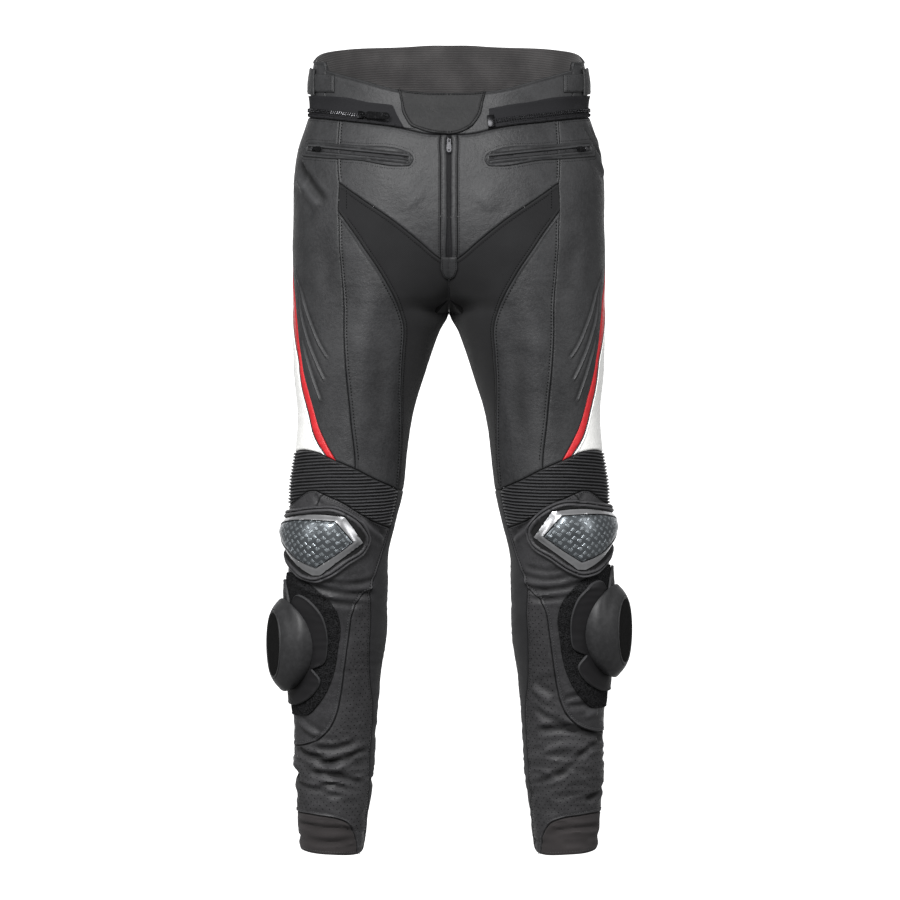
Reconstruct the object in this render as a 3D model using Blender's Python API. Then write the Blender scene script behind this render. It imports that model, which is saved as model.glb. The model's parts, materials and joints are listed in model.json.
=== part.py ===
"""Leather motorcycle trousers in their worn form, hollow, open at the waist and the hems.

All pieces are laid out on one form of the garment's outer face. A place on that form has
two numbers: turn, how far round one leg it lies (0 centre front and inseam, 1 front,
2 outer side, 3 back, 4 centre back and inseam), and z, its height. Every seam, and the
edge of every piece that lies on a panel, is a line in turn and z. Both legs share the
form; the wearer's right leg is its mirror image.

The origin is at the waist, on the garment's middle plane. The front faces -Y, +X is the
wearer's left. Lengths are in millimetres until a mesh is made.
"""

from collections import namedtuple
from math import ceil, cos, pi, radians, sin

import bmesh
import bpy
import numpy as np
from mathutils import Matrix, Vector
from mathutils.geometry import delaunay_2d_cdt

MM = 0.001

# ---------------------------------------------------------------- driving dimensions

LEATHER = 1.6        # wall of a leather panel with its backing
BAND = 2.6           # doubled leather of the waistband
WEAVE = 1.0          # woven lining inside the back of the waist
GAP = 0.3            # between two pieces at a seam, and between two layers
HARD_GAP = 1.0       # between the hard pieces of the knee cup

HEM = -956.0         # height of the hems, from the waist
CROTCH = -262.0      # height of the crotch
KNEE_SEAM = -489.0   # height at which stretch cloth ends on the inside of the knee
SHIN_TOP = -612.0    # height of the top of the shin panel's seam

LINE_STEP = 37.0     # spacing of the points along a seam
FILL_STEP = 46.0     # spacing of the points inside a panel
TURN_WIDTH = 125.0   # typical width of one turn, for even spacing of the points

RIBS = 12            # ribs of the stretch leather above the knee
RIB_PITCH = 4.1      # from rib to rib
RIB_RELIEF = 1.1     # half the depth of a rib

# The pads and the shin panel of the left leg sit a little higher than those of the right.
CUP_RISE = {"R": -3.5, "L": 3.5}
PATCH_RISE = {"R": -5.0, "L": 5.0}
SLIDER_RISE = {"R": -9.0, "L": 9.0}
SHIN_STRETCH = {"R": 1.045, "L": 0.955}

# ------------------------------------------------------------------------- the form

# One level of half the garment: the inner, middle and outer x, the foremost and
# rearmost y, the y of the outer side and of the inner seam in front and behind, and how
# far the leg has parted from the other one (0 body, 1 leg).
Level = namedtuple("Level", "z inner mid outer front back side seam_front seam_back parted")

LEVELS = (
    Level(110, 0, 50, 171, -90, 98, 2, -90, 98, 0),
    Level(60, 0, 50, 174, -92, 102, 2, -92, 102, 0),
    Level(30, 0, 50, 178, -94, 106, 2, -94, 106, 0),
    Level(0, 0, 50, 178, -97, 111, 2, -97, 110, 0),
    Level(-20, 0, 52, 184, -102, 117, 3, -102, 115, 0),
    Level(-60, 0, 55, 196, -111, 127, 4, -111, 123, 0),
    Level(-100, 0, 58, 200, -117, 136, 5, -117, 130, 0),
    Level(-140, 0, 62, 200, -120, 141, 6, -119, 132, 0),
    Level(-180, 0, 68, 201, -120, 140, 6, -114, 125, 0),
    Level(-220, 0, 78, 201, -116, 132, 4, -94, 104, 0),
    Level(-245, 0, 86, 200, -113, 124, 2, -60, 74, 0),
    Level(CROTCH, 0, 92, 200, -111, 118, 0, 8, 8, 0.35),
    Level(-285, 12, 101, 200, -108, 108, -1, 6, 6, 1),
    Level(-331, 28, 112, 199, -104, 95, -5, 1, 1, 1),
    Level(-393, 46, 120, 194, -99, 80, -9, -6, -6, 1),
    Level(-440, 53, 124, 197, -97, 73, -12, -11, -11, 1),
    Level(-486, 58, 131, 203, -98, 66, -16, -15, -15, 1),
    Level(-530, 68, 139, 204, -99, 61, -19, -18, -18, 1),
    Level(-578, 78, 144, 205, -94, 60, -17, -17, -17, 1),
    Level(-625, 79, 145, 206, -83, 64, -9, -9, -9, 1),
    Level(-671, 80, 145, 205, -71, 70, 0, 0, 0, 1),
    Level(-732, 89, 146, 203, -57, 72, 8, 8, 8, 1),
    Level(-800, 94, 147, 199, -43, 72, 15, 15, 15, 1),
    Level(-860, 99, 148, 198, -33, 72, 20, 20, 20, 1),
    Level(-905, 104, 149, 195, -28, 72, 22, 22, 22, 1),
    Level(HEM, 111, 151, 191, -24, 72, 24, 24, 24, 1),
)


def through(heights, values, z):
    """A curve through the values at rising heights that never overshoots them."""
    rises = np.diff(values) / np.diff(heights)
    before, after = rises[:-1], rises[1:]
    total = np.where(before + after == 0, 1, before + after)
    slopes = np.zeros(len(values))
    slopes[1:-1] = np.where(before * after > 0, 2 * before * after / total, 0)
    slopes[0], slopes[-1] = rises[0], rises[-1]
    z = np.clip(z, heights[0], heights[-1])
    i = np.clip(np.searchsorted(heights, z) - 1, 0, len(heights) - 2)
    step = heights[i + 1] - heights[i]
    u = (z - heights[i]) / step
    ends = (1 + 2 * u) * (1 - u) ** 2 * values[i] + u * u * (3 - 2 * u) * values[i + 1]
    return ends + step * (u * (1 - u) ** 2 * slopes[i] + u * u * (u - 1) * slopes[i + 1])


COLUMNS = {name: np.array([getattr(level, name) for level in reversed(LEVELS)], float)
           for name in Level._fields}


def level_at(z):
    return Level(*[through(COLUMNS["z"], COLUMNS[name], z) for name in Level._fields])


def form(turn, z):
    """Points of the outer face of the wearer's left leg and the left half of the body."""
    turn, z = np.asarray(turn, float), np.asarray(z, float)
    s = level_at(z)
    front = turn < 2
    near = np.where(front, turn, 4 - turn)       # 0 inner seam, 1 middle, 2 outer side
    seam = np.where(front, s.seam_front, s.seam_back)
    crest = np.where(front, s.front, s.back)
    inner = np.clip(near, 0, 1)
    outer = np.clip(near - 1, 0, 1) * pi / 2
    across = s.parted * (1 - np.cos(inner * pi / 2)) + (1 - s.parted) * inner
    deep = s.parted * np.sin(inner * pi / 2) + (1 - s.parted) * (1 - (1 - inner) ** 2)
    x = np.where(near < 1, s.inner + (s.mid - s.inner) * across,
                 s.mid + (s.outer - s.mid) * np.sin(outer))
    y = np.where(near < 1, seam + (crest - seam) * deep,
                 s.side + (crest - s.side) * np.cos(outer))
    return np.stack([x, y, z + 0 * x], -1)


def form_normal(turn, z, reach=0.02, rise=1.0):
    """Outward unit normals of the form."""
    turn = np.clip(turn, reach, 4 - reach)
    along = form(turn + reach, z) - form(turn - reach, z)
    up = form(turn, z + rise) - form(turn, z - rise)
    normal = np.cross(along, up)
    return normal / np.linalg.norm(normal, axis=-1, keepdims=True)


def turn_at(x, z):
    """The turn of the point x from the centre front, on the body above the crotch."""
    return float(x / level_at(np.array([float(z)])).mid[0])


# -------------------------------------------------------------------------- the cut

# Each line is a list of places (turn, z). The line is smooth through them, and has a
# corner at a place that is given twice. (turn, "line") is the place where that line
# passes the turn.
FLY_HALF = 2.5       # half the width of the fly's zip
FLY_STRIP = 10.5     # outer edge of the strips beside it
FLY_LEVELS = (-43, -80, -120, -160, -201)

SEAMS = {
    # the garment's own edges
    "centre_front": [(0, HEM), (0, KNEE_SEAM), (0, KNEE_SEAM), (0, CROTCH), (0, CROTCH),
                     (0, -204), (0, -204), (0, -43), (0, -43), (0, 10.4)],
    "centre_back": [(4, HEM), (4, KNEE_SEAM), (4, KNEE_SEAM), (4, CROTCH), (4, CROTCH),
                    (4, -188), (4, -188), (4, 97)],
    "hem": [(0, HEM), (1, HEM), (2, HEM), (3, HEM), (4, HEM)],
    "top": [(0, 10.4), (0.6, 11), (1.04, 14), (1.35, 31), (1.62, 45), (1.62, 45),
            (1.66, 56), (1.66, 56), (2, 62), (2.4, 76), (3, 92), (4, 97)],
    # waist
    "waist_seam": [(0, -43), (0.47, -42), (1.03, -34.5), (1.36, -24.5), (1.64, -17),
                   (2, -9), (3, 6), (4, 10)],
    "band_end": [(1.64, "waist_seam"), (1.64, "top")],
    "yoke_seam": [(2.13, -100), (2.6, -108), (3.3, -122), (4, -128)],
    # fly
    "gusset_top": [(0, -204), (0.16, -198), (0.52, -178.5), (1.05, -148), (1.21, -126),
                   (1.38, -102)],
    "fly_zip_edge": [(turn_at(FLY_HALF, z), z) for z in FLY_LEVELS],
    "fly_strip_edge": [(turn_at(FLY_STRIP, z), z) for z in FLY_LEVELS],
    # edges of the ribbed leather
    "ribs_top": [(0.27, -487.6), (0.67, -473.3), (0.93, -460), (1.2, -448), (1.35, -441),
                 (1.55, -437), (1.96, -439.5), (2.5, -440.5), (2.8, -446)],
    "ribs_bottom": [(0.245, -536.5), (0.53, -529), (0.7, -521), (0.84, -513),
                    (0.97, -504.5), (1.2, -494), (1.34, -488), (1.34, -488), (1.45, -489),
                    (1.55, -494.5), (1.67, -501), (1.96, -507), (2.4, -509), (2.8, -507)],
    # hip and thigh
    "hip_seam": [(1.45, "waist_seam"), (1.42, -50), (1.38, -102), (1.38, -102),
                 (1.378, -137), (1.378, -137), (1.36, -162), (1.30, -224), (1.22, -274),
                 (1.13, -331), (1.02, -400), (0.915, "ribs_top")],
    "gusset_front": [(1.378, -137), (1.2, -180), (1.02, -221), (0.8, -245), (0.72, -262),
                     (0.67, -283), (0.59, -317), (0.475, -369), (0.365, -412),
                     (0.3, -453), (0.27, -487.6)],
    "gusset_back": [(4, -188), (3.75, -204), (3.53, -245), (3.45, -300), (3.47, -380),
                    (3.62, -486)],
    "side_seam": [(2.1, "waist_seam"), (2.13, -100), (2.13, -100), (2.13, -145),
                  (2.13, -145), (2.13, -232), (2.13, -232), (2.2, -290), (2.35, -360),
                  (2.5, -440.5)],
    "stripe_front": [(2.13, -145), (1.97, -195), (1.86, -235), (1.77, -278), (1.66, -323),
                     (1.57, -360), (1.41, -407), (1.29, -428), (1.15, -450)],
    "stripe_back": [(2.13, -232), (1.97, -264), (1.85, -290), (1.72, -323), (1.66, -363),
                    (1.58, -389), (1.45, -420), (1.265, -443.8)],
    # knee and shin
    "ribs_back": [(2.8, -446), (2.8, -507)],
    "inner_front": [(0.27, -487.6), (0.245, -536.5), (0.29, -564), (0.4, -589),
                    (0.5, -615), (0.49, -646), (0.5, -684), (0.41, -730), (0.31, -763),
                    (0.28, -796), (0.3, -830), (0.27, -867), (0.17, -921), (0.15, HEM)],
    "inner_back": [(3.62, -486), (3.66, -560), (3.6, -640), (3.65, -730), (3.75, -860),
                   (3.82, HEM)],
    "gusset_hem_front": [(0.27, -487.6), (0, KNEE_SEAM)],
    "gusset_hem_back": [(3.62, -486), (4, KNEE_SEAM)],
    "shin_seam": [(0.49, SHIN_TOP), (0.68, -626), (0.76, -641), (0.81, -669), (0.85, -705),
                  (0.89, -741), (0.95, -765), (1.05, -783), (1.23, -797), (1.46, -804),
                  (1.96, -807), (2.4, -803), (2.7, -785), (2.82, -750), (2.84, -700),
                  (2.83, -596)],
    "shin_back": [(2.83, -596), (2.8, -507)],
    "knee_back": [(2.83, -596), (3.2, -600), (3.63, -594)],
    "cuff_seam": [(0.39, HEM), (0.46, -939), (0.59, -923), (0.73, -913), (0.9, -908),
                  (1.28, -904), (2, -903), (2.8, -904), (3.2, -910), (3.45, -925),
                  (3.55, HEM)],
}

# A place inside each panel tells which panel it is.
PANELS = {
    "fly_zip": [(0.02, -120)],
    "fly_placket": [(0.11, -120)],
    "waistband_front": [(1.2, -5)],
    "waistband_back": [(3, 50)],
    "back_yoke": [(3, -50)],
    "front_hip": [(0.9, -100)],
    "stretch_gusset": [(0.5, -230), (3.8, -330)],
    "front_thigh": [(0.95, -300)],
    "side_thigh": [(1.7, -120)],
    "red_stripe": [(1.95, -240)],
    "side_panel": [(2.1, -400)],
    "accordion": [(1.2, -470)],
    "knee_panel": [(0.7, -560)],
    "calf": [(0.7, -850)],
    "cuff": [(2, -930)],
    "inner_leg": [(0.1, -700), (3.9, -700)],
    "back_thigh": [(3, -300)],
}


def chords(points):
    spread = np.diff(points, axis=0) * (TURN_WIDTH, 1)
    return np.maximum(np.linalg.norm(spread, axis=1), 1e-6)


def smooth_run(points, closed):
    """Sample a smooth curve through the points, about LINE_STEP apart."""
    points = np.array(points, float)
    if len(points) == 2:
        parts = ceil(chords(points)[0] / LINE_STEP - 0.3)
        return [tuple(points[0] + (points[1] - points[0]) * k / max(parts, 1))
                for k in range(max(parts, 1) + 1)]
    lengths = chords(points)
    slopes = np.diff(points, axis=0) / lengths[:, None]
    tangents = np.empty_like(points)
    weight = (lengths[:-1] / (lengths[:-1] + lengths[1:]))[:, None]
    tangents[1:-1] = slopes[:-1] * (1 - weight) + slopes[1:] * weight
    tangents[0], tangents[-1] = slopes[0], slopes[-1]
    if closed:
        tangents[0] = tangents[-1] = (slopes[0] + slopes[-1]) / 2
    line = [tuple(points[0])]
    for p, q, tp, tq, length in zip(points, points[1:], tangents, tangents[1:], lengths):
        parts = max(1, ceil(length / LINE_STEP - 0.3))
        for k in range(1, parts + 1):
            u = k / parts
            place = ((1 + 2 * u) * (1 - u) ** 2 * p + u * u * (3 - 2 * u) * q
                     + length * (u * (1 - u) ** 2 * tp + u * u * (u - 1) * tq))
            line.append(tuple(place))
    return line


def drawn(points, closed=False):
    """The sampled line through points, with a corner where a point is given twice."""
    runs = [[points[0]]]
    for before, point in zip(points, points[1:]):
        if point == before:
            runs.append([point])
        else:
            runs[-1].append(point)
    line = []
    for run in runs:
        if len(run) < 2:
            continue
        line += smooth_run(run, closed and len(runs) == 1)[bool(line):]
    return line


def crossing(line, axis, value):
    """Where a sampled line passes a turn (axis 0) or a height (axis 1)."""
    for p, q in zip(line, line[1:]):
        if min(p[axis], q[axis]) <= value <= max(p[axis], q[axis]) and p[axis] != q[axis]:
            u = (value - p[axis]) / (q[axis] - p[axis])
            return tuple(a + (b - a) * u for a, b in zip(p, q))
    raise ValueError("the line doesn't pass there")


def draw_seams(side):
    """Sample all seams. An end that touches another seam is put exactly on it."""
    lines = {}
    for name, points in SEAMS.items():
        placed = []
        for turn, z in points:
            if isinstance(z, str):
                placed.append(crossing(lines[z], 0, turn))
            else:
                placed.append((float(turn), float(z)))
        if name == "shin_seam":
            placed = [(turn, SHIN_TOP + (z - SHIN_TOP) * SHIN_STRETCH[side])
                      for turn, z in placed[:-1]] + placed[-1:]
        for end in (0, -1):
            placed[end] = onto(lines, placed[end])
        lines[name] = drawn(placed)
    return lines


def onto(lines, place, reach=4.0):
    """The nearest place on the lines drawn so far, if one is within reach."""
    best, nearest = reach, place
    scale = np.array([TURN_WIDTH, 1])
    point = np.array(place) * scale
    for line in lines.values():
        for p, q in zip(line, line[1:]):
            p, q = np.array(p) * scale, np.array(q) * scale
            u = np.clip(np.dot(point - p, q - p) / max(np.dot(q - p, q - p), 1e-9), 0, 1)
            foot = p + (q - p) * u
            if np.linalg.norm(foot - point) < best - 1e-6:
                best = np.linalg.norm(foot - point)
                nearest = tuple(foot / scale)
    return nearest


# ------------------------------------------------------- outlines that lie on panels

def mirrored(points, middle):
    """A closed outline from its front half and the turn of its middle."""
    return points + [(2 * middle - turn, z) for turn, z in reversed(points)]


# The knee slider's foot is an oval: its middle, half its width in turns, half its height.
SLIDER_MIDDLE = (1.8, -676.0)
FOOT_TURN = 0.535
FOOT_HIGH = 58.0

WAIST_LINES = {
    "R": {
        "tab_side": [(1.07, "top"), (0.93, "waist_seam")],
        "link_top": [(1.1, -6), (1.25, -1), (1.4, 6), (1.6, 11), (2, 18), (3, 32), (4, 36)],
        "link_end": [(1.1, -6), (1.01, "waist_seam")],
    },
    "L": {
        "tab_side": [(0.93, "top"), (0.45, "waist_seam")],
        "link_top": [(0.98, -10), (1.1, -6), (1.25, -1), (1.4, 6), (1.6, 11), (2, 18),
                     (3, 32), (4, 36)],
        "link_end": [(0.98, -10), (0.92, "waist_seam")],
    },
}
CHAIN_LOW, CHAIN_HIGH = 5.5, 11.5      # the zip chain's edges above the waist seam
CHAIN_START = {"R": 1.24, "L": 0.99}

END_TAB = [(0, -223.5), (0.09, -220), (0.145, -211), (0.145, -211), (0.14, -196),
           (0.14, -196), (0, -196)]

OUTLINES = {
    "adjuster_strap": [(1.53, 14.5), (1.53, 14.5), (1.53, 37), (1.53, 37), (2, 46.5),
                       (2.5, 54), (2.5, 54), (2.5, 31), (2.5, 31), (2, 22.5), (1.53, 14.5)],
    "adjuster_loop": [(1.76, 14.5), (1.76, 14.5), (1.78, 48), (1.78, 48), (1.98, 54),
                      (1.98, 54), (1.98, 20), (1.98, 20), (1.76, 14.5)],
    "pocket_welt": [(1.73, -45), (1.73, -45), (1.49, -50.5), (1.31, -55), (1.01, -62.6),
                    (0.85, -67.5), (0.79, -75.5), (0.86, -82.5), (1.01, -83.5),
                    (1.26, -75.5), (1.47, -71), (1.75, -64), (1.75, -64), (1.73, -45)],
    "pocket_slot": [(1.69, -53), (1.69, -53), (1.6, -55.4), (1.3, -63.4), (0.92, -72),
                    (0.92, -72), (0.92, -75.4), (0.92, -75.4), (1.3, -66.8),
                    (1.6, -58.8), (1.69, -56.4), (1.69, -56.4), (1.69, -53)],
    "knee_bolster": [(1.96, -514), (1.6, -511), (1.32, -507), (1.06, -507), (0.9, -515.5),
                     (0.74, -528), (0.63, -545), (0.66, -559), (0.86, -575),
                     (1.05, -590), (1.21, -596), (1.4, -594), (1.7, -580), (1.96, -570),
                     (2.25, -560), (2.42, -540), (2.25, -519), (1.96, -514)],
    "cup_rim": [(1.26, -514), (1.02, -515.5), (0.93, -518.5), (0.74, -541), (0.69, -548),
                (0.72, -553), (0.9, -567.5), (1.1, -585), (1.2, -590.5), (1.3, -589.5),
                (1.42, -583), (1.7, -566), (1.95, -553), (2.15, -547), (2.28, -538),
                (2.15, -528), (1.9, -521.5), (1.6, -517), (1.26, -514)],
    "cup_window": [(1.4, -521.8), (1.1, -521.5), (1, -523), (0.88, -535), (0.8, -545.5),
                   (0.82, -549.5), (0.95, -560), (1.15, -576.5), (1.25, -579),
                   (1.45, -570), (1.7, -556), (1.93, -545), (2.08, -538), (1.95, -530),
                   (1.71, -524), (1.4, -521.8)],
    "velcro": mirrored([(1.6, -590), (1.5, -594.5), (1.25, -606.5), (1.06, -622),
                        (0.96, -636), (0.92, -654), (0.945, -680), (1, -715),
                        (1.1, -739), (1.23, -755.5), (1.41, -769), (1.6, -771)],
                       SLIDER_MIDDLE[0]) + [(1.6, -590)],
    "slider_base": [(1.675, -627), (1.675, -627), (1.5, -610), (1.35, -614.5),
                    (1.18, -630), (1.09, -653), (1.08, -675), (1.13, -697),
                    (1.29, -704.7), (1.29, -704.7), (1.18, -718), (1.28, -737),
                    (1.48, -749), (1.8, -754), (2.12, -749), (2.32, -737), (2.42, -718),
                    (2.31, -704.7), (2.31, -704.7), (2.47, -697), (2.52, -675),
                    (2.51, -653), (2.42, -630), (2.3, -618), (2.22, -625), (2.22, -625),
                    (2.15, -603), (1.95, -593), (1.78, -604), (1.675, -627)],
    "slider_foot": [(SLIDER_MIDDLE[0] - FOOT_TURN * cos(k * pi / 8),
                     SLIDER_MIDDLE[1] + FOOT_HIGH * sin(k * pi / 8)) for k in range(17)],
}
RISES = {"knee_bolster": CUP_RISE, "cup_rim": CUP_RISE, "cup_window": CUP_RISE,
         "velcro": PATCH_RISE, "slider_base": SLIDER_RISE, "slider_foot": SLIDER_RISE}


def waist_seam_offset(rise, start):
    """A line above the waist seam, from a starting turn to the centre back."""
    near = [(turn, z + rise) for turn, z in SEAMS["waist_seam"] if turn > start + 0.1]
    first = crossing(drawn([(turn, float(z)) for turn, z in SEAMS["waist_seam"]]), 0, start)
    return [(start, first[1] + rise)] + near


# ---------------------------------------------------------- the net of triangles

class Half:
    """The cut of one leg and its half of the body, as one net of triangles."""

    def __init__(self, side):
        self.side = side
        self.lines = draw_seams(side)
        for name, points in WAIST_LINES[side].items():
            placed = [crossing(self.lines[z], 0, turn) if isinstance(z, str)
                      else (float(turn), float(z)) for turn, z in points]
            self.lines[name] = drawn(placed)
        for name, rise in (("chain_low", CHAIN_LOW), ("chain_high", CHAIN_HIGH)):
            self.lines[name] = drawn(waist_seam_offset(rise, CHAIN_START[side]))
        self.lines["chain_end"] = [self.lines["chain_low"][0], self.lines["chain_high"][0]]
        self.lines["end_tab"] = drawn(END_TAB)
        for name, points in OUTLINES.items():
            rise = RISES.get(name, {}).get(side, 0)
            self.lines[name] = drawn([(turn, z + rise) for turn, z in points], closed=True)
        for number, line in enumerate(rib_lines(self.lines)):
            self.lines[f"rib_{number}"] = line
        self.fill()

    def fill(self):
        """Fill the space between the lines with triangles of even size."""
        places, edges, owners = [], [], []
        for name, line in self.lines.items():
            first = len(places)
            places += line
            edges += [(first + k, first + k + 1) for k in range(len(line) - 1)]
            owners += [name] * (len(line) - 1)
        places += loose_places(places, edges)
        scaled = [Vector((turn * TURN_WIDTH, z)) for turn, z in places]
        flat, lines, faces, _, sources, _ = delaunay_2d_cdt(scaled, edges, [], 0, 0.01)
        self.turn = np.array([p.x / TURN_WIDTH for p in flat])
        self.turn[abs(self.turn) < 1e-5] = 0
        self.turn[abs(self.turn - 4) < 1e-5] = 4
        self.z = np.array([p.y for p in flat])
        self.faces = [tuple(face) for face in faces]
        self.owners = {frozenset(line): {owners[k] for k in source}
                       for line, source in zip(lines, sources)}
        self.point = form(self.turn, self.z)
        self.normal = form_normal(self.turn, self.z)
        if self.side == "R":
            self.point[:, 0] *= -1
            self.normal[:, 0] *= -1
        self.neighbours = {}
        for number, face in enumerate(self.faces):
            for pair in zip(face, face[1:] + face[:1]):
                self.neighbours.setdefault(frozenset(pair), []).append(number)

    def face_at(self, turn, z):
        here = np.array([turn * TURN_WIDTH, z])
        corner = np.stack([self.turn * TURN_WIDTH, self.z], -1)[np.array(self.faces)]
        inside = np.ones(len(self.faces), bool)
        for k in range(3):
            side = corner[:, (k + 1) % 3] - corner[:, k]
            to = here - corner[:, k]
            inside &= side[:, 0] * to[:, 1] - side[:, 1] * to[:, 0] >= 0
        return int(np.flatnonzero(inside)[0])

    def spot(self, turn, z):
        """The point of the net at a place, and the outward normal there."""
        face = list(self.faces[self.face_at(turn, z)])
        flat = np.stack([self.turn[face] * TURN_WIDTH, self.z[face], np.ones(3)])
        shares = np.linalg.solve(flat, np.array([turn * TURN_WIDTH, z, 1]))
        out = shares @ self.normal[face]
        return shares @ self.point[face], out / np.linalg.norm(out)

    def region(self, seeds, bounds):
        """All triangles that can be reached from the seeds without crossing a bound."""
        found = {self.face_at(*seed) for seed in seeds}
        open_faces = list(found)
        while open_faces:
            face = self.faces[open_faces.pop()]
            for pair in zip(face, face[1:] + face[:1]):
                edge = frozenset(pair)
                if self.owners.get(edge, set()) & bounds:
                    continue
                for other in self.neighbours[edge]:
                    if other not in found:
                        found.add(other)
                        open_faces.append(other)
        return found


def rib_lines(seams):
    """The crests and troughs of the ribs, side by side below their top seam."""
    top, bottom = seams["ribs_top"], seams["ribs_bottom"]
    lines = []
    for number in range(1, 2 * RIBS):
        drop = RIB_PITCH / 2 * number
        runs = [[]]
        for turn, z in top:
            if z - drop < crossing(bottom, 0, turn)[1] + RIB_PITCH * 0.6:
                runs.append([])
            elif turn == top[0][0]:
                runs[-1].append(crossing(seams["inner_front"], 1, z - drop))
            else:
                runs[-1].append((turn, z - drop))
        lines += [run for run in runs if len(run) > 1]
    return lines


def loose_places(places, edges):
    """Places in even rows, clear of the lines."""
    scaled = np.array(places) * (TURN_WIDTH, 1)
    start, end = scaled[[a for a, _ in edges]], scaled[[b for _, b in edges]]
    span = end - start
    length = np.maximum((span ** 2).sum(1), 1e-9)
    found = []
    rows = int((97 - HEM) / (FILL_STEP * 0.866))
    for row in range(1, rows):
        z = HEM + row * FILL_STEP * 0.866
        for column in range(int(4 * TURN_WIDTH / FILL_STEP)):
            x = (column + 0.5 + 0.5 * (row % 2)) * FILL_STEP
            to = np.array([x, z]) - start
            u = np.clip((to * span).sum(1) / length, 0, 1)
            nearest = np.linalg.norm(to - u[:, None] * span, axis=1).min()
            if nearest > FILL_STEP * 0.5:
                found.append((x / TURN_WIDTH, z))
    return found


# ------------------------------------------------------------------- making solids

def weld(parts):
    """Join the regions of one or both halves into one net of points and triangles."""
    index, points, normals, places, faces = {}, [], [], [], []
    for half, region in parts:
        for number in sorted(region):
            face = []
            for vertex in half.faces[number]:
                point = half.point[vertex]
                key = tuple(np.round(point * 100).astype(int))
                if key not in index:
                    index[key] = len(points)
                    points.append(point)
                    normals.append(np.zeros(3))
                    places.append((half, half.turn[vertex], half.z[vertex]))
                slot = index[key]
                normals[slot] = normals[slot] + half.normal[vertex]
                face.append(slot)
            faces.append(face if half.side == "L" else face[::-1])
    points, normals = np.array(points), np.array(normals)
    normals[abs(points[:, 0]) < 1e-6, 0] = 0
    normals /= np.linalg.norm(normals, axis=1, keepdims=True)
    return points, normals, places, faces


def borders(faces):
    """The directed edges that only one triangle has."""
    edges = {(a, b) for face in faces for a, b in zip(face, face[1:] + face[:1])}
    return [(a, b) for a, b in edges if (b, a) not in edges]


def inset(points, normals, rim, gap):
    """How far each border point moves in, so that the seam keeps its gap."""
    sides = {}
    for a, b in rim:
        along = points[b] - points[a]
        along = along / np.linalg.norm(along)
        for end in (a, b):
            sides.setdefault(end, []).append(np.cross(normals[end], along))
    moves = np.zeros_like(points)
    for vertex, inward in sides.items():
        inward = [side / np.linalg.norm(side) for side in inward]
        middle = sum(inward)
        size = np.linalg.norm(middle)
        if size > 1e-6:
            middle /= size
            moves[vertex] = middle * gap / 2 / max(np.dot(middle, inward[0]), 0.4)
    return moves


def make_object(name, vertices, faces, look):
    mesh = bpy.data.meshes.new(name)
    mesh.from_pydata([tuple(np.array(v) * MM) for v in vertices], [], faces)
    mesh.update()
    mesh.materials.append(look)
    made = bpy.data.objects.new(name, mesh)
    bpy.context.collection.objects.link(made)
    made.parent = ORIGIN
    return made


def wall(name, parts, low, high, look, relief=None, gap=GAP):
    """A closed wall on the form, between two heights above its outer face.

    A height is a number, or a function of a place (half, turn, z). relief moves both
    faces of the wall away from its border.
    """
    points, normals, places, faces = weld(parts)
    rim = borders(faces)
    edge = {vertex for pair in rim for vertex in pair}
    moved = points + inset(points, normals, rim, gap)
    layers = []
    for height in (high, low):
        out = np.array([height(*place) if callable(height) else height for place in places])
        if relief:
            out = out + [0 if k in edge else relief(*place) for k, place in enumerate(places)]
        layers.append(moved + normals * out[:, None])
    count = len(points)
    sides = [(b, a, a + count, b + count) for a, b in rim]
    under = [[v + count for v in reversed(face)] for face in faces]
    return make_object(name, np.concatenate(layers), faces + under + sides, look)


def distance_to(line, turn, z):
    """Distance on the form from a place to a sampled line."""
    scaled = np.array(line) * (TURN_WIDTH, 1)
    span = np.diff(scaled, axis=0)
    to = np.array([turn * TURN_WIDTH, z]) - scaled[:-1]
    u = np.clip((to * span).sum(1) / np.maximum((span ** 2).sum(1), 1e-9), 0, 1)
    return float(np.linalg.norm(to - u[:, None] * span, axis=1).min())


def rising_from(line_name, swell):
    """A height that rises from a line's edge to its full value, as a quarter circle."""
    def height(half, turn, z):
        u = min(distance_to(half.lines[line_name], turn, z) / swell.width, 1)
        return swell.edge + (swell.full - swell.edge) * (1 - (1 - u) ** 2) ** 0.5
    return height


# ------------------------------------------------------------------------ materials

def finish(name, colour, roughness, metallic=0.0):
    look = bpy.data.materials.new(name)
    look.use_nodes = True
    shader = look.node_tree.nodes["Principled BSDF"]
    shader.inputs["Base Color"].default_value = (*colour, 1)
    shader.inputs["Roughness"].default_value = roughness
    shader.inputs["Metallic"].default_value = metallic
    look.diffuse_color = (*colour, 1)
    return look


for leftover in list(bpy.data.objects):
    bpy.data.objects.remove(leftover)

BLACK_LEATHER = finish("black leather", (0.035, 0.036, 0.04), 0.5)
WHITE_LEATHER = finish("white leather", (0.78, 0.78, 0.76), 0.45)
RED_LEATHER = finish("red leather", (0.55, 0.02, 0.03), 0.45)
STRETCH_CLOTH = finish("stretch cloth", (0.02, 0.021, 0.024), 0.9)
LINING_CLOTH = finish("ribbed lining", (0.05, 0.05, 0.055), 0.85)
LOOP_CLOTH = finish("loop fastener", (0.012, 0.012, 0.013), 1.0)
ZIP_BLACK = finish("black zip", (0.015, 0.015, 0.016), 0.4)
SILVER = finish("silver frame", (0.55, 0.56, 0.58), 0.3, 0.9)
GUNMETAL = finish("gunmetal shell", (0.12, 0.125, 0.135), 0.35, 0.7)
HARD_BLACK = finish("hard black plastic", (0.02, 0.02, 0.022), 0.35)
BASE_BLACK = finish("soft black plastic", (0.025, 0.025, 0.028), 0.6)

ORIGIN = bpy.data.objects.new("trousers", None)
bpy.context.collection.objects.link(ORIGIN)

# --------------------------------------------------------------------------- panels

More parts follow.
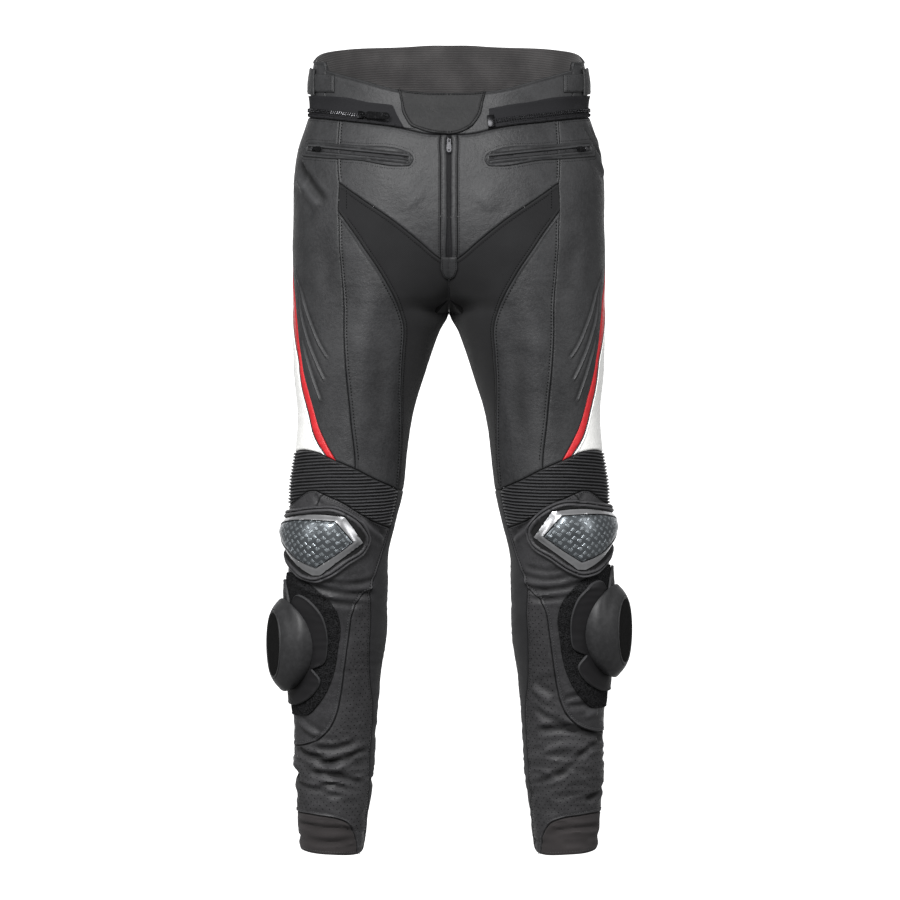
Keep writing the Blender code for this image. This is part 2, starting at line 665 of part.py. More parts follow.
HALVES = {side: Half(side) for side in "RL"}
LEFT, RIGHT = HALVES["L"], HALVES["R"]
SEAM_NAMES = set(SEAMS)

LOOKS = {"waistband_front": BLACK_LEATHER, "fly_placket": BLACK_LEATHER,
         "front_hip": BLACK_LEATHER, "stretch_gusset": STRETCH_CLOTH,
         "front_thigh": BLACK_LEATHER, "side_thigh": BLACK_LEATHER,
         "red_stripe": RED_LEATHER, "side_panel": WHITE_LEATHER,
         "accordion": BLACK_LEATHER, "knee_panel": BLACK_LEATHER, "calf": BLACK_LEATHER,
         "cuff": STRETCH_CLOTH, "inner_leg": STRETCH_CLOTH, "back_thigh": BLACK_LEATHER}


def rib_relief(half, turn, z):
    """Crests half a pitch below the top seam, troughs a pitch below it."""
    turn = max(turn, half.lines["ribs_top"][0][0])
    top = crossing(half.lines["ribs_top"], 0, turn)[1]
    bottom = crossing(half.lines["ribs_bottom"], 0, turn)[1]
    phase = (top - z) / RIB_PITCH
    return RIB_RELIEF * (1 - cos(2 * pi * phase)) if z > bottom + RIB_PITCH * 0.5 else 0


for side, half in HALVES.items():
    for name, look in LOOKS.items():
        depth = BAND if name.startswith("waistband") else LEATHER
        region = half.region(PANELS[name], SEAM_NAMES)
        relief = rib_relief if name == "accordion" else None
        wall(f"{name}_{side}", [(half, region)], -depth, 0.0, look, relief)

both = {name: [(half, half.region(PANELS[name], SEAM_NAMES)) for half in HALVES.values()]
        for name in ("waistband_back", "back_yoke", "fly_zip")}
wall("waistband_back", both["waistband_back"], -BAND, 0.0, BLACK_LEATHER)
wall("back_yoke", both["back_yoke"], -LEATHER, 0.0, BLACK_LEATHER)

# ------------------------------------------------------------------ layers on panels

def on_both(seed, bounds):
    return [(half, half.region([seed], bounds)) for half in HALVES.values()]


# Heights above the panels' outer face.
FLY_TOP = -0.4          # the fly's zip is sunk between its strips
END_TAB_TOP = 1.9       # leather tab at the fly's lower end
TAB_TOP = 3.0           # closure tab of doubled leather
TAPE_TOP = 1.5          # tape of the zip that links the trousers to a jacket
CHAIN_FOOT, CHAIN_TOP = TAPE_TOP + GAP, 3.8
STRAP_TOP = 2.1         # adjuster strap, and the loop around it
LOOP_FOOT, LOOP_TOP = STRAP_TOP + GAP, 4.2
WELT_TOP = 2.3          # the pocket's lips, and its zip between them
POCKET_TAPE_TOP = 1.1
PATCH_TOP = 2.5         # loop fastener patch at the shin
BASE_TOP = 6.2          # moulded base of the knee slider

# The heights of a raised knee piece at its edge and inside it, and the width between.
Swell = namedtuple("Swell", "edge full width")
BOLSTER = Swell(2.5, 7.5, 8.0)
RIM = Swell(5.5, 10.0, 9.0)
SHELL = Swell(8.0, 14.0, 26.0)

wall("waist_lining", both["waistband_back"], -BAND - GAP - WEAVE, -BAND - GAP, LINING_CLOTH)
wall("closure_tab", on_both((0.2, -10), {"tab_side", "waist_seam", "top"}), GAP, TAB_TOP,
     BLACK_LEATHER)
wall("link_zip_tape", on_both((2, 3), {"link_top", "link_end", "waist_seam"}), GAP,
     TAPE_TOP, ZIP_BLACK)
LINK_CHAIN = wall("link_zip_chain", on_both((2, -0.5), {"chain_low", "chain_high",
                                                        "chain_end"}),
                  CHAIN_FOOT, CHAIN_TOP, ZIP_BLACK)
FLY_CHAIN = wall("fly_zip", both["fly_zip"], -LEATHER, FLY_TOP, ZIP_BLACK)
wall("fly_end_tab", on_both((0.05, -208), {"end_tab"}), GAP, END_TAB_TOP, BLACK_LEATHER)

POCKET_CHAINS = {}
for side, half in HALVES.items():
    rise = CUP_RISE[side]
    lying = {
        "adjuster_strap": ((2.2, 38), {"adjuster_strap"}, GAP, STRAP_TOP, BLACK_LEATHER),
        "adjuster_loop": ((1.87, 36), {"adjuster_loop"}, LOOP_FOOT, LOOP_TOP,
                          BLACK_LEATHER),
        "pocket_welt": ((0.85, -75), {"pocket_welt", "pocket_slot"}, GAP, WELT_TOP,
                        BLACK_LEATHER),
        "pocket_zip": ((1.3, -65), {"pocket_slot"}, GAP, POCKET_TAPE_TOP, ZIP_BLACK),
        "knee_bolster": ((0.67, -548 + rise), {"knee_bolster", "cup_rim"}, GAP,
                         rising_from("knee_bolster", BOLSTER), BLACK_LEATHER),
        "cup_frame": ((0.75, -547 + rise), {"cup_rim", "cup_window"}, GAP,
                      rising_from("cup_rim", RIM), SILVER),
        "cup_shell": ((1.4, -545 + rise), {"cup_window"}, GAP,
                      rising_from("cup_window", SHELL), GUNMETAL),
        "velcro": (SLIDER_MIDDLE, {"velcro"}, GAP, PATCH_TOP, LOOP_CLOTH),
        "slider_base": (SLIDER_MIDDLE, {"slider_base"}, PATCH_TOP + GAP, BASE_TOP,
                        BASE_BLACK),
    }
    for name, (seed, bounds, low, high, look) in lying.items():
        made = wall(f"{name}_{side}", [(half, half.region([seed], bounds))], low, high, look,
                    gap=HARD_GAP if name.startswith("cup") else GAP)
        if name == "pocket_zip":
            POCKET_CHAINS[side] = made

# -------------------------------------------------------------------- knee sliders

# One ring of the slider: its height over the foot's middle and its half width and height.
Ring = namedtuple("Ring", "height across up")
SLIDER_RINGS = (Ring(7, 51, 56), Ring(14, 48.5, 54.5), Ring(20.5, 42, 50),
                Ring(23.5, 36, 45), Ring(24, 30, 39))
SLIDER_ANGLE = radians(72)      # between the slider's face and the trousers' front


def slider(side, half):
    """A thick oval puck with a flat face, on the curved base."""
    middle_turn, middle_z = SLIDER_MIDDLE
    rise = SLIDER_RISE[side]
    region = half.region([SLIDER_MIDDLE], {"slider_foot"})
    points, normals, places, faces = weld([(half, region)])
    rim = borders(faces)
    foot = points + inset(points, normals, rim, GAP) + normals * (BASE_TOP + GAP)
    mirror = 1 if side == "L" else -1
    axis = np.array([mirror * sin(SLIDER_ANGLE), -cos(SLIDER_ANGLE), 0])
    across = np.array([mirror * cos(SLIDER_ANGLE), sin(SLIDER_ANGLE), 0])
    middle = form(middle_turn, middle_z + rise) * (mirror, 1, 1)
    after = dict(rim)
    loop = [rim[0][0]]
    while after[loop[-1]] != loop[0]:
        loop.append(after[loop[-1]])
    vertices, count = list(foot), len(foot)
    for ring in SLIDER_RINGS:
        for vertex in loop:
            _, turn, z = places[vertex]
            wide = (turn - middle_turn) / FOOT_TURN
            high = (z - rise - middle_z) / FOOT_HIGH
            size = (wide ** 2 + high ** 2) ** 0.5
            vertices.append(middle + axis * ring.height + across * ring.across * wide / size
                            + np.array([0, 0, ring.up * high / size]))
    steps = len(loop)
    skins = [face[::-1] for face in faces]
    rows = [loop] + [[count + k * steps + j for j in range(steps)]
                     for k in range(len(SLIDER_RINGS))]
    for lower, upper in zip(rows, rows[1:]):
        for j in range(steps):
            skins.append((lower[j], lower[(j + 1) % steps], upper[(j + 1) % steps], upper[j]))
    skins.append(tuple(rows[-1]))
    make_object(f"slider_puck_{side}", vertices, skins, HARD_BLACK)


for side, half in HALVES.items():
    slider(side, half)

# ---------------------------------------------------------- zip sliders and their pulls

# A slider has a neck in its chain, a body and, over it, a bail: an arch that holds the
# pull's cross bar. foot, sole and top are the lowest heights of neck and body, and the
# body's top.
Zip = namedtuple("Zip", "length width neck foot sole top")
FLY_SLIDER = Zip(8.5, 4.2, 3.0, -1.2, -0.2, 2.4)
LINK_SLIDER = Zip(13, 9.5, 4.0, CHAIN_FOOT + 0.3, CHAIN_FOOT + 0.8, 6.2)
POCKET_SLIDER = Zip(8, 4.6, 2.0, 0.6, 2.8, 4.3)
PIN_BOX = Zip(9, 16, 0, CHAIN_FOOT + 0.2, CHAIN_FOOT + 0.2, 5.6)

# Where a slider lies, and the place that its pull points to.
FLY_AT = ((0.0, -50), (0.0, -60))
LINK_AT = ((1.275, -18.5), (1.1, -23.5))
POCKET_AT = ((1.6, -57.1), (1.4, -62.3))
PIN_BOX_AT = ((1.0, -27), (1.1, -25))

BAIL_HALF = 2.65         # half the length of the bail
BAIL_BAR = 0.9           # thickness of its legs and its top
BAIL_WIDTH = 1.4
BAIL_ROOM = 2.0          # free height under the bail
SUNK = 0.3               # how deep a fused piece reaches into the next one

# A pull: half widths of its end and its neck, its length and the radius of its hole.
Pull = namedtuple("Pull", "width neck length hole")
SMALL_PULL = Pull(2.9, 2.3, 17, 1.1)
LINK_PULL = Pull(4.4, 2.6, 38, 2.3)
BAR = 1.0                # the pull's cross bar, and its thickness
SLOT_END = 3.9           # from the cross bar's middle to the end of the pull's slot
SLOT_HALF = 1.05
SHOULDER = (1.5, 4.0)    # beyond the slot, the stretch in which the neck widens


def local_frame(half, place, towards):
    """Axes at a place on the net: along the surface to another place, across, out."""
    start, out = half.spot(*place)
    along = half.spot(*towards)[0] - start
    along -= out * np.dot(along, out)
    along /= np.linalg.norm(along)
    across = np.cross(out, along)
    axes = Matrix(np.stack([along, across, out], 1).tolist()).to_4x4()
    return Matrix.Translation(Vector(start * MM)) @ axes


def block(name, low, high, place, look):
    """A plain block between two corners, in millimetres along a place's axes."""
    mesh = bpy.data.meshes.new(name)
    work = bmesh.new()
    bmesh.ops.create_cube(work, size=1)
    low, high = Vector(low) * MM, Vector(high) * MM
    for vertex in work.verts:
        vertex.co = Vector(((low[k] + high[k]) / 2 + vertex.co[k] * (high[k] - low[k])
                            for k in range(3)))
    work.to_mesh(mesh)
    work.free()
    mesh.materials.append(look)
    made = bpy.data.objects.new(name, mesh)
    made.matrix_world = place
    bpy.context.collection.objects.link(made)
    return made


def join_to(target, piece):
    """Fuse a piece into a target, and keep the piece as a guide only."""
    fuse = target.modifiers.new(piece.name, "BOOLEAN")
    fuse.operation = "UNION"
    fuse.object = piece
    piece.hide_render = True
    piece.display_type = "WIRE"


def bail(name, place, top):
    """The arch over a slider's body, as one bent bar."""
    bar, reach, room = BAIL_BAR, BAIL_HALF, BAIL_ROOM
    profile = [(-reach, -SUNK), (-reach, room + bar), (reach, room + bar), (reach, -SUNK),
               (reach - bar, -SUNK), (reach - bar, room), (-reach + bar, room),
               (-reach + bar, -SUNK)]
    mesh = bpy.data.meshes.new(name)
    work = bmesh.new()
    half = BAIL_WIDTH / 2
    ends = [[work.verts.new(Vector((x, y, top + w)) * MM) for x, w in profile]
            for y in (-half, half)]
    work.faces.new(ends[0])
    work.faces.new(ends[1][::-1])
    for k in range(len(profile)):
        after = (k + 1) % len(profile)
        work.faces.new((ends[0][after], ends[0][k], ends[1][k], ends[1][after]))
    bmesh.ops.recalc_face_normals(work, faces=work.faces)
    work.to_mesh(mesh)
    work.free()
    made = bpy.data.objects.new(name, mesh)
    made.matrix_world = place
    bpy.context.collection.objects.link(made)
    return made


def zip_slider(chain, name, place, size):
    """Fuse a slider's neck, body and bail to its chain."""
    half = size.length / 2
    neck = block(f"{name}_neck", (-half + 1, -size.neck / 2, size.foot),
                 (half - 1, size.neck / 2, size.sole + SUNK), place, ZIP_BLACK)
    body = block(f"{name}_body", (-half, -size.width / 2, size.sole),
                 (half, size.width / 2, size.top), place, ZIP_BLACK)
    join_to(chain, neck)
    join_to(chain, body)
    join_to(chain, bail(f"{name}_bail", place, size.top))


def pull(name, place, top, size):
    """A flat pull tab over a slider's top. Its slot holds the bail, and its origin is on
    its cross bar."""
    end = size.length - size.width
    edge = [(-BAR / 2, size.neck), (SLOT_END + SHOULDER[0], size.neck),
            (SLOT_END + SHOULDER[1], size.width)]
    edge += [(end + size.width * sin(k * pi / 10), size.width * cos(k * pi / 10))
             for k in range(6)]
    loop = edge + [(x, -y) for x, y in reversed(edge[:-1])]
    slot = [(BAR / 2, SLOT_HALF), (SLOT_END, SLOT_HALF), (SLOT_END, -SLOT_HALF),
            (BAR / 2, -SLOT_HALF)]
    eye = [(end + size.hole * cos(k * pi / 4), size.hole * sin(k * pi / 4))
           for k in range(8)]
    work = bmesh.new()
    edges = []
    for ring in (loop, slot, eye):
        corners = [work.verts.new(Vector((x, y, -BAR / 2)) * MM) for x, y in ring]
        edges += [work.edges.new((a, b)) for a, b in zip(corners, corners[1:] + corners[:1])]
    bmesh.ops.triangle_fill(work, use_beauty=True, edges=edges)
    under = list(work.faces)
    raised = bmesh.ops.extrude_face_region(work, geom=under)["geom"]
    for vertex in (item for item in raised if isinstance(item, bmesh.types.BMVert)):
        vertex.co.z += BAR * MM
    bmesh.ops.recalc_face_normals(work, faces=work.faces)
    mesh = bpy.data.meshes.new(name)
    work.to_mesh(mesh)
    work.free()
    mesh.materials.append(ZIP_BLACK)
    made = bpy.data.objects.new(name, mesh)
    made.matrix_world = place @ Matrix.Translation((0, 0, (top + BAIL_ROOM / 2) * MM))
    bpy.context.collection.objects.link(made)


FLY_PLACE = local_frame(LEFT, *FLY_AT)
zip_slider(FLY_CHAIN, "fly_slider", FLY_PLACE, FLY_SLIDER)
pull("fly_pull", FLY_PLACE, FLY_SLIDER.top, SMALL_PULL)

LINK_PLACE = local_frame(RIGHT, *LINK_AT)
zip_slider(LINK_CHAIN, "link_slider", LINK_PLACE, LINK_SLIDER)
pull("link_zip_pull", LINK_PLACE, LINK_SLIDER.top, LINK_PULL)
BOX_CORNER = (PIN_BOX.length / 2, PIN_BOX.width / 2)
join_to(LINK_CHAIN, block("link_box", (-BOX_CORNER[0], -BOX_CORNER[1], PIN_BOX.foot),
                          (*BOX_CORNER, PIN_BOX.top), local_frame(LEFT, *PIN_BOX_AT),
                          ZIP_BLACK))

for side, half in HALVES.items():
    POCKET_PLACE = local_frame(half, *POCKET_AT)
    zip_slider(POCKET_CHAINS[side], f"pocket_slider_{side}", POCKET_PLACE, POCKET_SLIDER)
    pull(f"pocket_pull_{side}", POCKET_PLACE, POCKET_SLIDER.top, SMALL_PULL)
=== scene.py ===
"""Leather motorcycle trousers in their worn form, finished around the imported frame."""

import json
from collections import namedtuple
from math import ceil, cos, pi, radians, sin

import bmesh
import bpy
import numpy as np
from mathutils import Matrix, Vector, noise
from mathutils.geometry import delaunay_2d_cdt


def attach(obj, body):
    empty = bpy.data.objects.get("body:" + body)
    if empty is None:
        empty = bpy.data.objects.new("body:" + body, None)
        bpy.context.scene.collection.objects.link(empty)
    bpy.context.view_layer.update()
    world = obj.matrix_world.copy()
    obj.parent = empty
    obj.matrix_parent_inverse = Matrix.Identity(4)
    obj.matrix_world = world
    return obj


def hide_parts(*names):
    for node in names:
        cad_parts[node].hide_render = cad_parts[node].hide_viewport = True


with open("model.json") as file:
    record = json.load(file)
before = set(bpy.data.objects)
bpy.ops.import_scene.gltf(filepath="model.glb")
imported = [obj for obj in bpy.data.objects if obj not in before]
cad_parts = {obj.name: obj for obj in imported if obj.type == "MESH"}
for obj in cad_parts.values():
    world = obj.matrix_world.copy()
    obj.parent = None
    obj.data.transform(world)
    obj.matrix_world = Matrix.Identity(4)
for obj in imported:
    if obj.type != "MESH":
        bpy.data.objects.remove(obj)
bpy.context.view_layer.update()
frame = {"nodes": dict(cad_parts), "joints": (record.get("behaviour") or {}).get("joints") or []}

# ------------------------------------------------------------------ studio
# The trousers hang freely before a lit white wall of paper. One large soft light in
# front and above, a weaker one at each side.

scene = bpy.context.scene
scene.view_settings.view_transform = "Standard"
camera = bpy.data.objects.new("camera", bpy.data.cameras.new("camera"))
camera.location = (0.0013, -3.855, -0.437)
camera.rotation_euler = (radians(90), 0, 0)
camera.data.lens, camera.data.sensor_width = 120, 36
scene.collection.objects.link(camera)
scene.camera = camera

paper_mesh = bpy.data.meshes.new("paper")
paper_mesh.from_pydata([(-1.6, 2.6, -2.1), (1.6, 2.6, -2.1), (1.6, 2.6, 1.3), (-1.6, 2.6, 1.3)],
                       [], [(0, 1, 2, 3)])
paper = bpy.data.objects.new("paper", paper_mesh)
scene.collection.objects.link(paper)
paper_look = bpy.data.materials.new("paper")
paper_look.use_nodes = True
for socket, value in (("Base Color", (.93, .93, .93, 1)), ("Roughness", 0.9),
                      ("Emission Color", (1, 1, 1, 1)), ("Emission Strength", 0.8)):
    paper_look.node_tree.nodes["Principled BSDF"].inputs[socket].default_value = value
paper_mesh.materials.append(paper_look)

scene.world = bpy.data.worlds.new("studio")
scene.world.use_nodes = True
scene.world.node_tree.nodes["Background"].inputs["Color"].default_value = (1, 1, 1, 1)
scene.world.node_tree.nodes["Background"].inputs["Strength"].default_value = 0.3


def soft_light(name, place, aim, size, power):
    lamp = bpy.data.lights.new(name, "AREA")
    lamp.shape, lamp.size, lamp.size_y, lamp.energy = "RECTANGLE", *size, power
    made = bpy.data.objects.new(name, lamp)
    made.location = place
    made.rotation_euler = (Vector(aim) - Vector(place)).to_track_quat("-Z", "Y").to_euler()
    scene.collection.objects.link(made)


soft_light("key", (-0.4, -2.3, 0.95), (0, 0, -0.5), (1.4, 0.8), 98)
for name, x in (("left_side", -2.2), ("right_side", 2.2)):
    soft_light(name, (x, -1.1, 0.4), (0, 0, -0.4), (0.5, 1.4), 16)

# --------------------------------------------------------- hips and thighs
# Cowhide about 1.6 mm thick with its backing, cut in panels for the front, the side and
# the back. The panels are lapped, sewn together and topstitched. Three padded lines are
# moulded into each side panel.
#
# A place on the trousers has two numbers: turn, how far round one leg it lies (0 centre
# front and inseam, 1 front, 2 outer side, 3 back, 4 centre back and inseam), and z, its
# height in millimetres. The right leg is the mirror image of the left one.

MM = 0.001
HEM, CROTCH, KNEE_SEAM = -956.0, -262.0, -489.0
LEATHER = 1.6        # wall of a leather panel
GAP = 0.3            # between two pieces at a seam, and between two layers
QUICK = 1.0

# One level of half the garment: the inner, middle and outer x, the foremost and
# rearmost y, the y of the outer side and of the inner seam in front and behind, and how
# far the leg has parted from the other one.
Level = namedtuple("Level", "z inner mid outer front back side seam_front seam_back parted")
LEVELS = (
    (110, 0, 50, 171, -90, 98, 2, -90, 98, 0),
    (60, 0, 50, 174, -92, 102, 2, -92, 102, 0),
    (30, 0, 50, 178, -94, 106, 2, -94, 106, 0),
    (0, 0, 50, 178, -97, 111, 2, -97, 110, 0),
    (-20, 0, 52, 184, -102, 117, 3, -102, 115, 0),
    (-60, 0, 55, 196, -111, 127, 4, -111, 123, 0),
    (-100, 0, 58, 200, -117, 136, 5, -117, 130, 0),
    (-140, 0, 62, 200, -120, 141, 6, -119, 132, 0),
    (-180, 0, 68, 201, -120, 140, 6, -114, 125, 0),
    (-220, 0, 78, 201, -116, 132, 4, -94, 104, 0),
    (-245, 0, 86, 200, -113, 124, 2, -60, 74, 0),
    (CROTCH, 0, 92, 200, -111, 118, 0, 8, 8, 0.35),
    (-285, 12, 101, 200, -108, 108, -1, 6, 6, 1),
    (-331, 28, 112, 199, -104, 95, -5, 1, 1, 1),
    (-393, 46, 120, 194, -99, 80, -9, -6, -6, 1),
    (-440, 53, 124, 197, -97, 73, -12, -11, -11, 1),
    (-486, 58, 131, 203, -98, 66, -16, -15, -15, 1),
    (-530, 68, 139, 204, -99, 61, -19, -18, -18, 1),
    (-578, 78, 144, 205, -94, 60, -17, -17, -17, 1),
    (-625, 79, 145, 206, -83, 64, -9, -9, -9, 1),
    (-671, 80, 145, 205, -71, 70, 0, 0, 0, 1),
    (-732, 89, 146, 203, -57, 72, 8, 8, 8, 1),
    (-800, 94, 147, 199, -43, 72, 15, 15, 15, 1),
    (-860, 99, 148, 198, -33, 72, 20, 20, 20, 1),
    (-905, 104, 149, 195, -28, 72, 22, 22, 22, 1),
    (HEM, 111, 151, 191, -24, 72, 24, 24, 24, 1),
)
COLUMNS = Level(*np.array(LEVELS[::-1], float).T)


def through(heights, values, z):
    """A curve through the values at rising heights that never overshoots them."""
    rises = np.diff(values) / np.diff(heights)
    before, after = rises[:-1], rises[1:]
    total = np.where(before + after == 0, 1, before + after)
    slopes = np.zeros(len(values))
    slopes[1:-1] = np.where(before * after > 0, 2 * before * after / total, 0)
    slopes[0], slopes[-1] = rises[0], rises[-1]
    z = np.clip(z, heights[0], heights[-1])
    i = np.clip(np.searchsorted(heights, z) - 1, 0, len(heights) - 2)
    step = heights[i + 1] - heights[i]
    u = (z - heights[i]) / step
    ends = (1 + 2 * u) * (1 - u) ** 2 * values[i] + u * u * (3 - 2 * u) * values[i + 1]
    return ends + step * (u * (1 - u) ** 2 * slopes[i] + u * u * (u - 1) * slopes[i + 1])


def form(turn, z):
    """Points of the outer face of the wearer's left leg and the left half of the body."""
    turn, z = np.asarray(turn, float), np.asarray(z, float)
    s = Level(*[through(COLUMNS.z, column, z) for column in COLUMNS])
    front = turn < 2
    near = np.where(front, turn, 4 - turn)
    seam = np.where(front, s.seam_front, s.seam_back)
    crest = np.where(front, s.front, s.back)
    inner = np.clip(near, 0, 1)
    outer = np.clip(near - 1, 0, 1) * pi / 2
    across = s.parted * (1 - np.cos(inner * pi / 2)) + (1 - s.parted) * inner
    deep = s.parted * np.sin(inner * pi / 2) + (1 - s.parted) * (1 - (1 - inner) ** 2)
    x = np.where(near < 1, s.inner + (s.mid - s.inner) * across,
                 s.mid + (s.outer - s.mid) * np.sin(outer))
    y = np.where(near < 1, seam + (crest - seam) * deep,
                 s.side + (crest - s.side) * np.cos(outer))
    return np.stack([x, y, z + 0 * x], -1)


def form_normal(turn, z, reach=0.02, rise=1.0):
    turn = np.clip(turn, reach, 4 - reach)
    along = form(turn + reach, z) - form(turn - reach, z)
    up = form(turn, z + rise) - form(turn, z - rise)
    normal = np.cross(along, up)
    return normal / np.linalg.norm(normal, axis=-1, keepdims=True)


# The length round the form from its outer side, at each height and turn, lays it out
# flat in millimetres.
HEIGHTS = np.linspace(HEM, 110, 180)
ROUND = np.linspace(0, 4, 161)
LENGTHS = np.array([np.concatenate([[0], np.cumsum(np.linalg.norm(
    np.diff(form(ROUND, np.full(161, z)), axis=0), axis=1))]) for z in HEIGHTS])
LENGTHS -= LENGTHS[:, 80:81]


def level_rows(z):
    u = np.clip((z - HEIGHTS[0]) / (HEIGHTS[1] - HEIGHTS[0]), 0, len(HEIGHTS) - 1.000001)
    k = u.astype(int)
    return k, (u - k)


def laid_flat(places):
    places = np.asarray(places, float)
    k, share = level_rows(places[:, 1])
    u = np.clip(places[:, 0] / ROUND[1], 0, 159.999999)
    j = u.astype(int)
    u = u - j
    low = LENGTHS[k, j] * (1 - u) + LENGTHS[k, j + 1] * u
    high = LENGTHS[k + 1, j] * (1 - u) + LENGTHS[k + 1, j + 1] * u
    return np.stack([low * (1 - share) + high * share, places[:, 1]], -1)


def taken_up(flat):
    k, share = level_rows(flat[:, 1])
    rows = LENGTHS[k] * (1 - share)[:, None] + LENGTHS[k + 1] * share[:, None]
    j = np.clip((rows <= flat[:, :1]).sum(1) - 1, 0, 159)
    every = np.arange(len(j))
    u = (flat[:, 0] - rows[every, j]) / (rows[every, j + 1] - rows[every, j])
    turn = (j + u) * ROUND[1]
    turn[abs(turn) < 2e-3] = 0
    turn[abs(turn - 4) < 2e-3] = 4
    return np.stack([turn, flat[:, 1]], -1)


# The lines of the cut, for each leg. A line is smooth through its places and has a
# corner at a place that is given twice. (turn, "line") is where that line passes.
LINES = {"R": {}, "L": {}}
TURN_WIDTH = 125.0
LINE_STEP = 3.2


def smooth_run(points, closed, step):
    if len({turn for turn, z in points}) == 1:         # straight up one leg
        turn, z = points[0]
        rise = points[-1][1] - z
        parts = max(2, ceil(abs(rise) / step))
        return [(turn, z + rise * k / parts) for k in range(parts + 1)]
    points = laid_flat(points)
    lengths = np.maximum(np.linalg.norm(np.diff(points, axis=0), axis=1), 1e-6)
    slopes = np.diff(points, axis=0) / lengths[:, None]
    tangents = np.empty_like(points)
    if len(points) > 2:
        weight = (lengths[:-1] / (lengths[:-1] + lengths[1:]))[:, None]
        tangents[1:-1] = slopes[:-1] * (1 - weight) + slopes[1:] * weight
    tangents[0], tangents[-1] = slopes[0], slopes[-1]
    if closed:
        tangents[0] = tangents[-1] = (slopes[0] + slopes[-1]) / 2
    line = [tuple(points[0])]
    for p, q, tp, tq, length in zip(points, points[1:], tangents, tangents[1:], lengths):
        parts = max(1, ceil(length / step))
        for k in range(1, parts + 1):
            u = k / parts
            place = ((1 + 2 * u) * (1 - u) ** 2 * p + u * u * (3 - 2 * u) * q
                     + length * (u * (1 - u) ** 2 * tp + u * u * (u - 1) * tq))
            line.append(tuple(place))
    return [tuple(place) for place in taken_up(np.array(line))]


def drawn(points, closed=False, step=LINE_STEP):
    runs = [[points[0]]]
    for before, point in zip(points, points[1:]):
        if point == before:
            runs.append([point])
        else:
            runs[-1].append(point)
    runs = [run for run in runs if len(run) > 1]
    line = []
    for run in runs:
        line += smooth_run(run, closed and len(runs) == 1, step)[bool(line):]
    return line


def crossing(line, turn):
    """Where a line passes a turn."""
    for p, q in zip(line, line[1:]):
        if min(p[0], q[0]) <= turn <= max(p[0], q[0]) and p[0] != q[0]:
            u = (turn - p[0]) / (q[0] - p[0])
            return tuple(a + (b - a) * u for a, b in zip(p, q))
    raise ValueError("the line doesn't pass there")


def on_lines(lines, points):
    """The places, where (turn, "line") is the place at which that line passes the turn."""
    return [crossing(lines[z], turn) if isinstance(z, str) else (float(turn), float(z))
            for turn, z in points]


def onto(lines, place, reach=4.0):
    """The nearest place on the lines drawn so far, if one is within reach."""
    best, nearest = reach, place
    point = laid_flat([place])[0]
    for line in lines.values():
        ends = laid_flat(line)
        span = np.diff(ends, axis=0)
        u = np.clip(((point - ends[:-1]) * span).sum(1)
                    / np.maximum((span ** 2).sum(1), 1e-9), 0, 1)
        feet = ends[:-1] + span * u[:, None]
        far = np.linalg.norm(feet - point, axis=1)
        k = int(far.argmin())
        if far[k] < best - 1e-6:
            best, nearest = far[k], tuple(taken_up(feet[k:k + 1])[0])
    return nearest


def seam(name, points, stretch=None):
    """Draws a seam on both legs. An end that touches another seam is put exactly on it."""
    for side, lines in LINES.items():
        placed = on_lines(lines, points)
        if stretch:
            top, shares = stretch
            placed[:-1] = [(turn, top + (z - top) * shares[side]) for turn, z in placed[:-1]]
        for end in (0, -1):
            placed[end] = onto(lines, placed[end])
        lines[name] = drawn(placed)


seam("centre_front", [(0, HEM), (0, KNEE_SEAM), (0, KNEE_SEAM), (0, CROTCH), (0, CROTCH),
                      (0, -223.5), (0, -223.5), (0, -204), (0, -204), (0, -196), (0, -196),
                      (0, -43), (0, -43), (0, 10.4)])
seam("centre_back", [(4, HEM), (4, KNEE_SEAM), (4, KNEE_SEAM), (4, CROTCH), (4, CROTCH),
                     (4, -188), (4, -188), (4, 97)])
seam("hem", [(0, HEM + 4), (0.2, HEM + 1), (0.5, HEM), (1.05, HEM + 2), (1.57, HEM + 3),
             (1.84, HEM + 5), (2, HEM + 9), (2.3, HEM + 5), (3, HEM + 2), (4, HEM + 3)])
seam("top", [(0, 10.4), (0.6, 11), (1.04, 14), (1.35, 31), (1.62, 45), (1.62, 45),
             (1.66, 56), (1.66, 56), (2, 64), (2.2, 76), (2.5, 87), (3, 94.5), (3.5, 96),
             (4, 96)])
seam("waist_seam", [(0, -43), (0.47, -42), (1.03, -34.5), (1.36, -24.5), (1.64, -17),
                    (2, -9), (3, 6), (4, 10)])
seam("band_end", [(1.64, "waist_seam"), (1.64, "top")])
seam("yoke_seam", [(2.13, -100), (2.6, -108), (3.3, -122), (4, -128)])
seam("gusset_top", [(0, -204), (0.16, -198), (0.52, -178.5), (1.05, -148), (1.21, -126),
                    (1.38, -102)])


def from_middle(x, z):
    """The turn of a place on the front of the body, x from the middle."""
    return x / float(through(COLUMNS.z, COLUMNS.mid, np.array([float(z)]))[0])


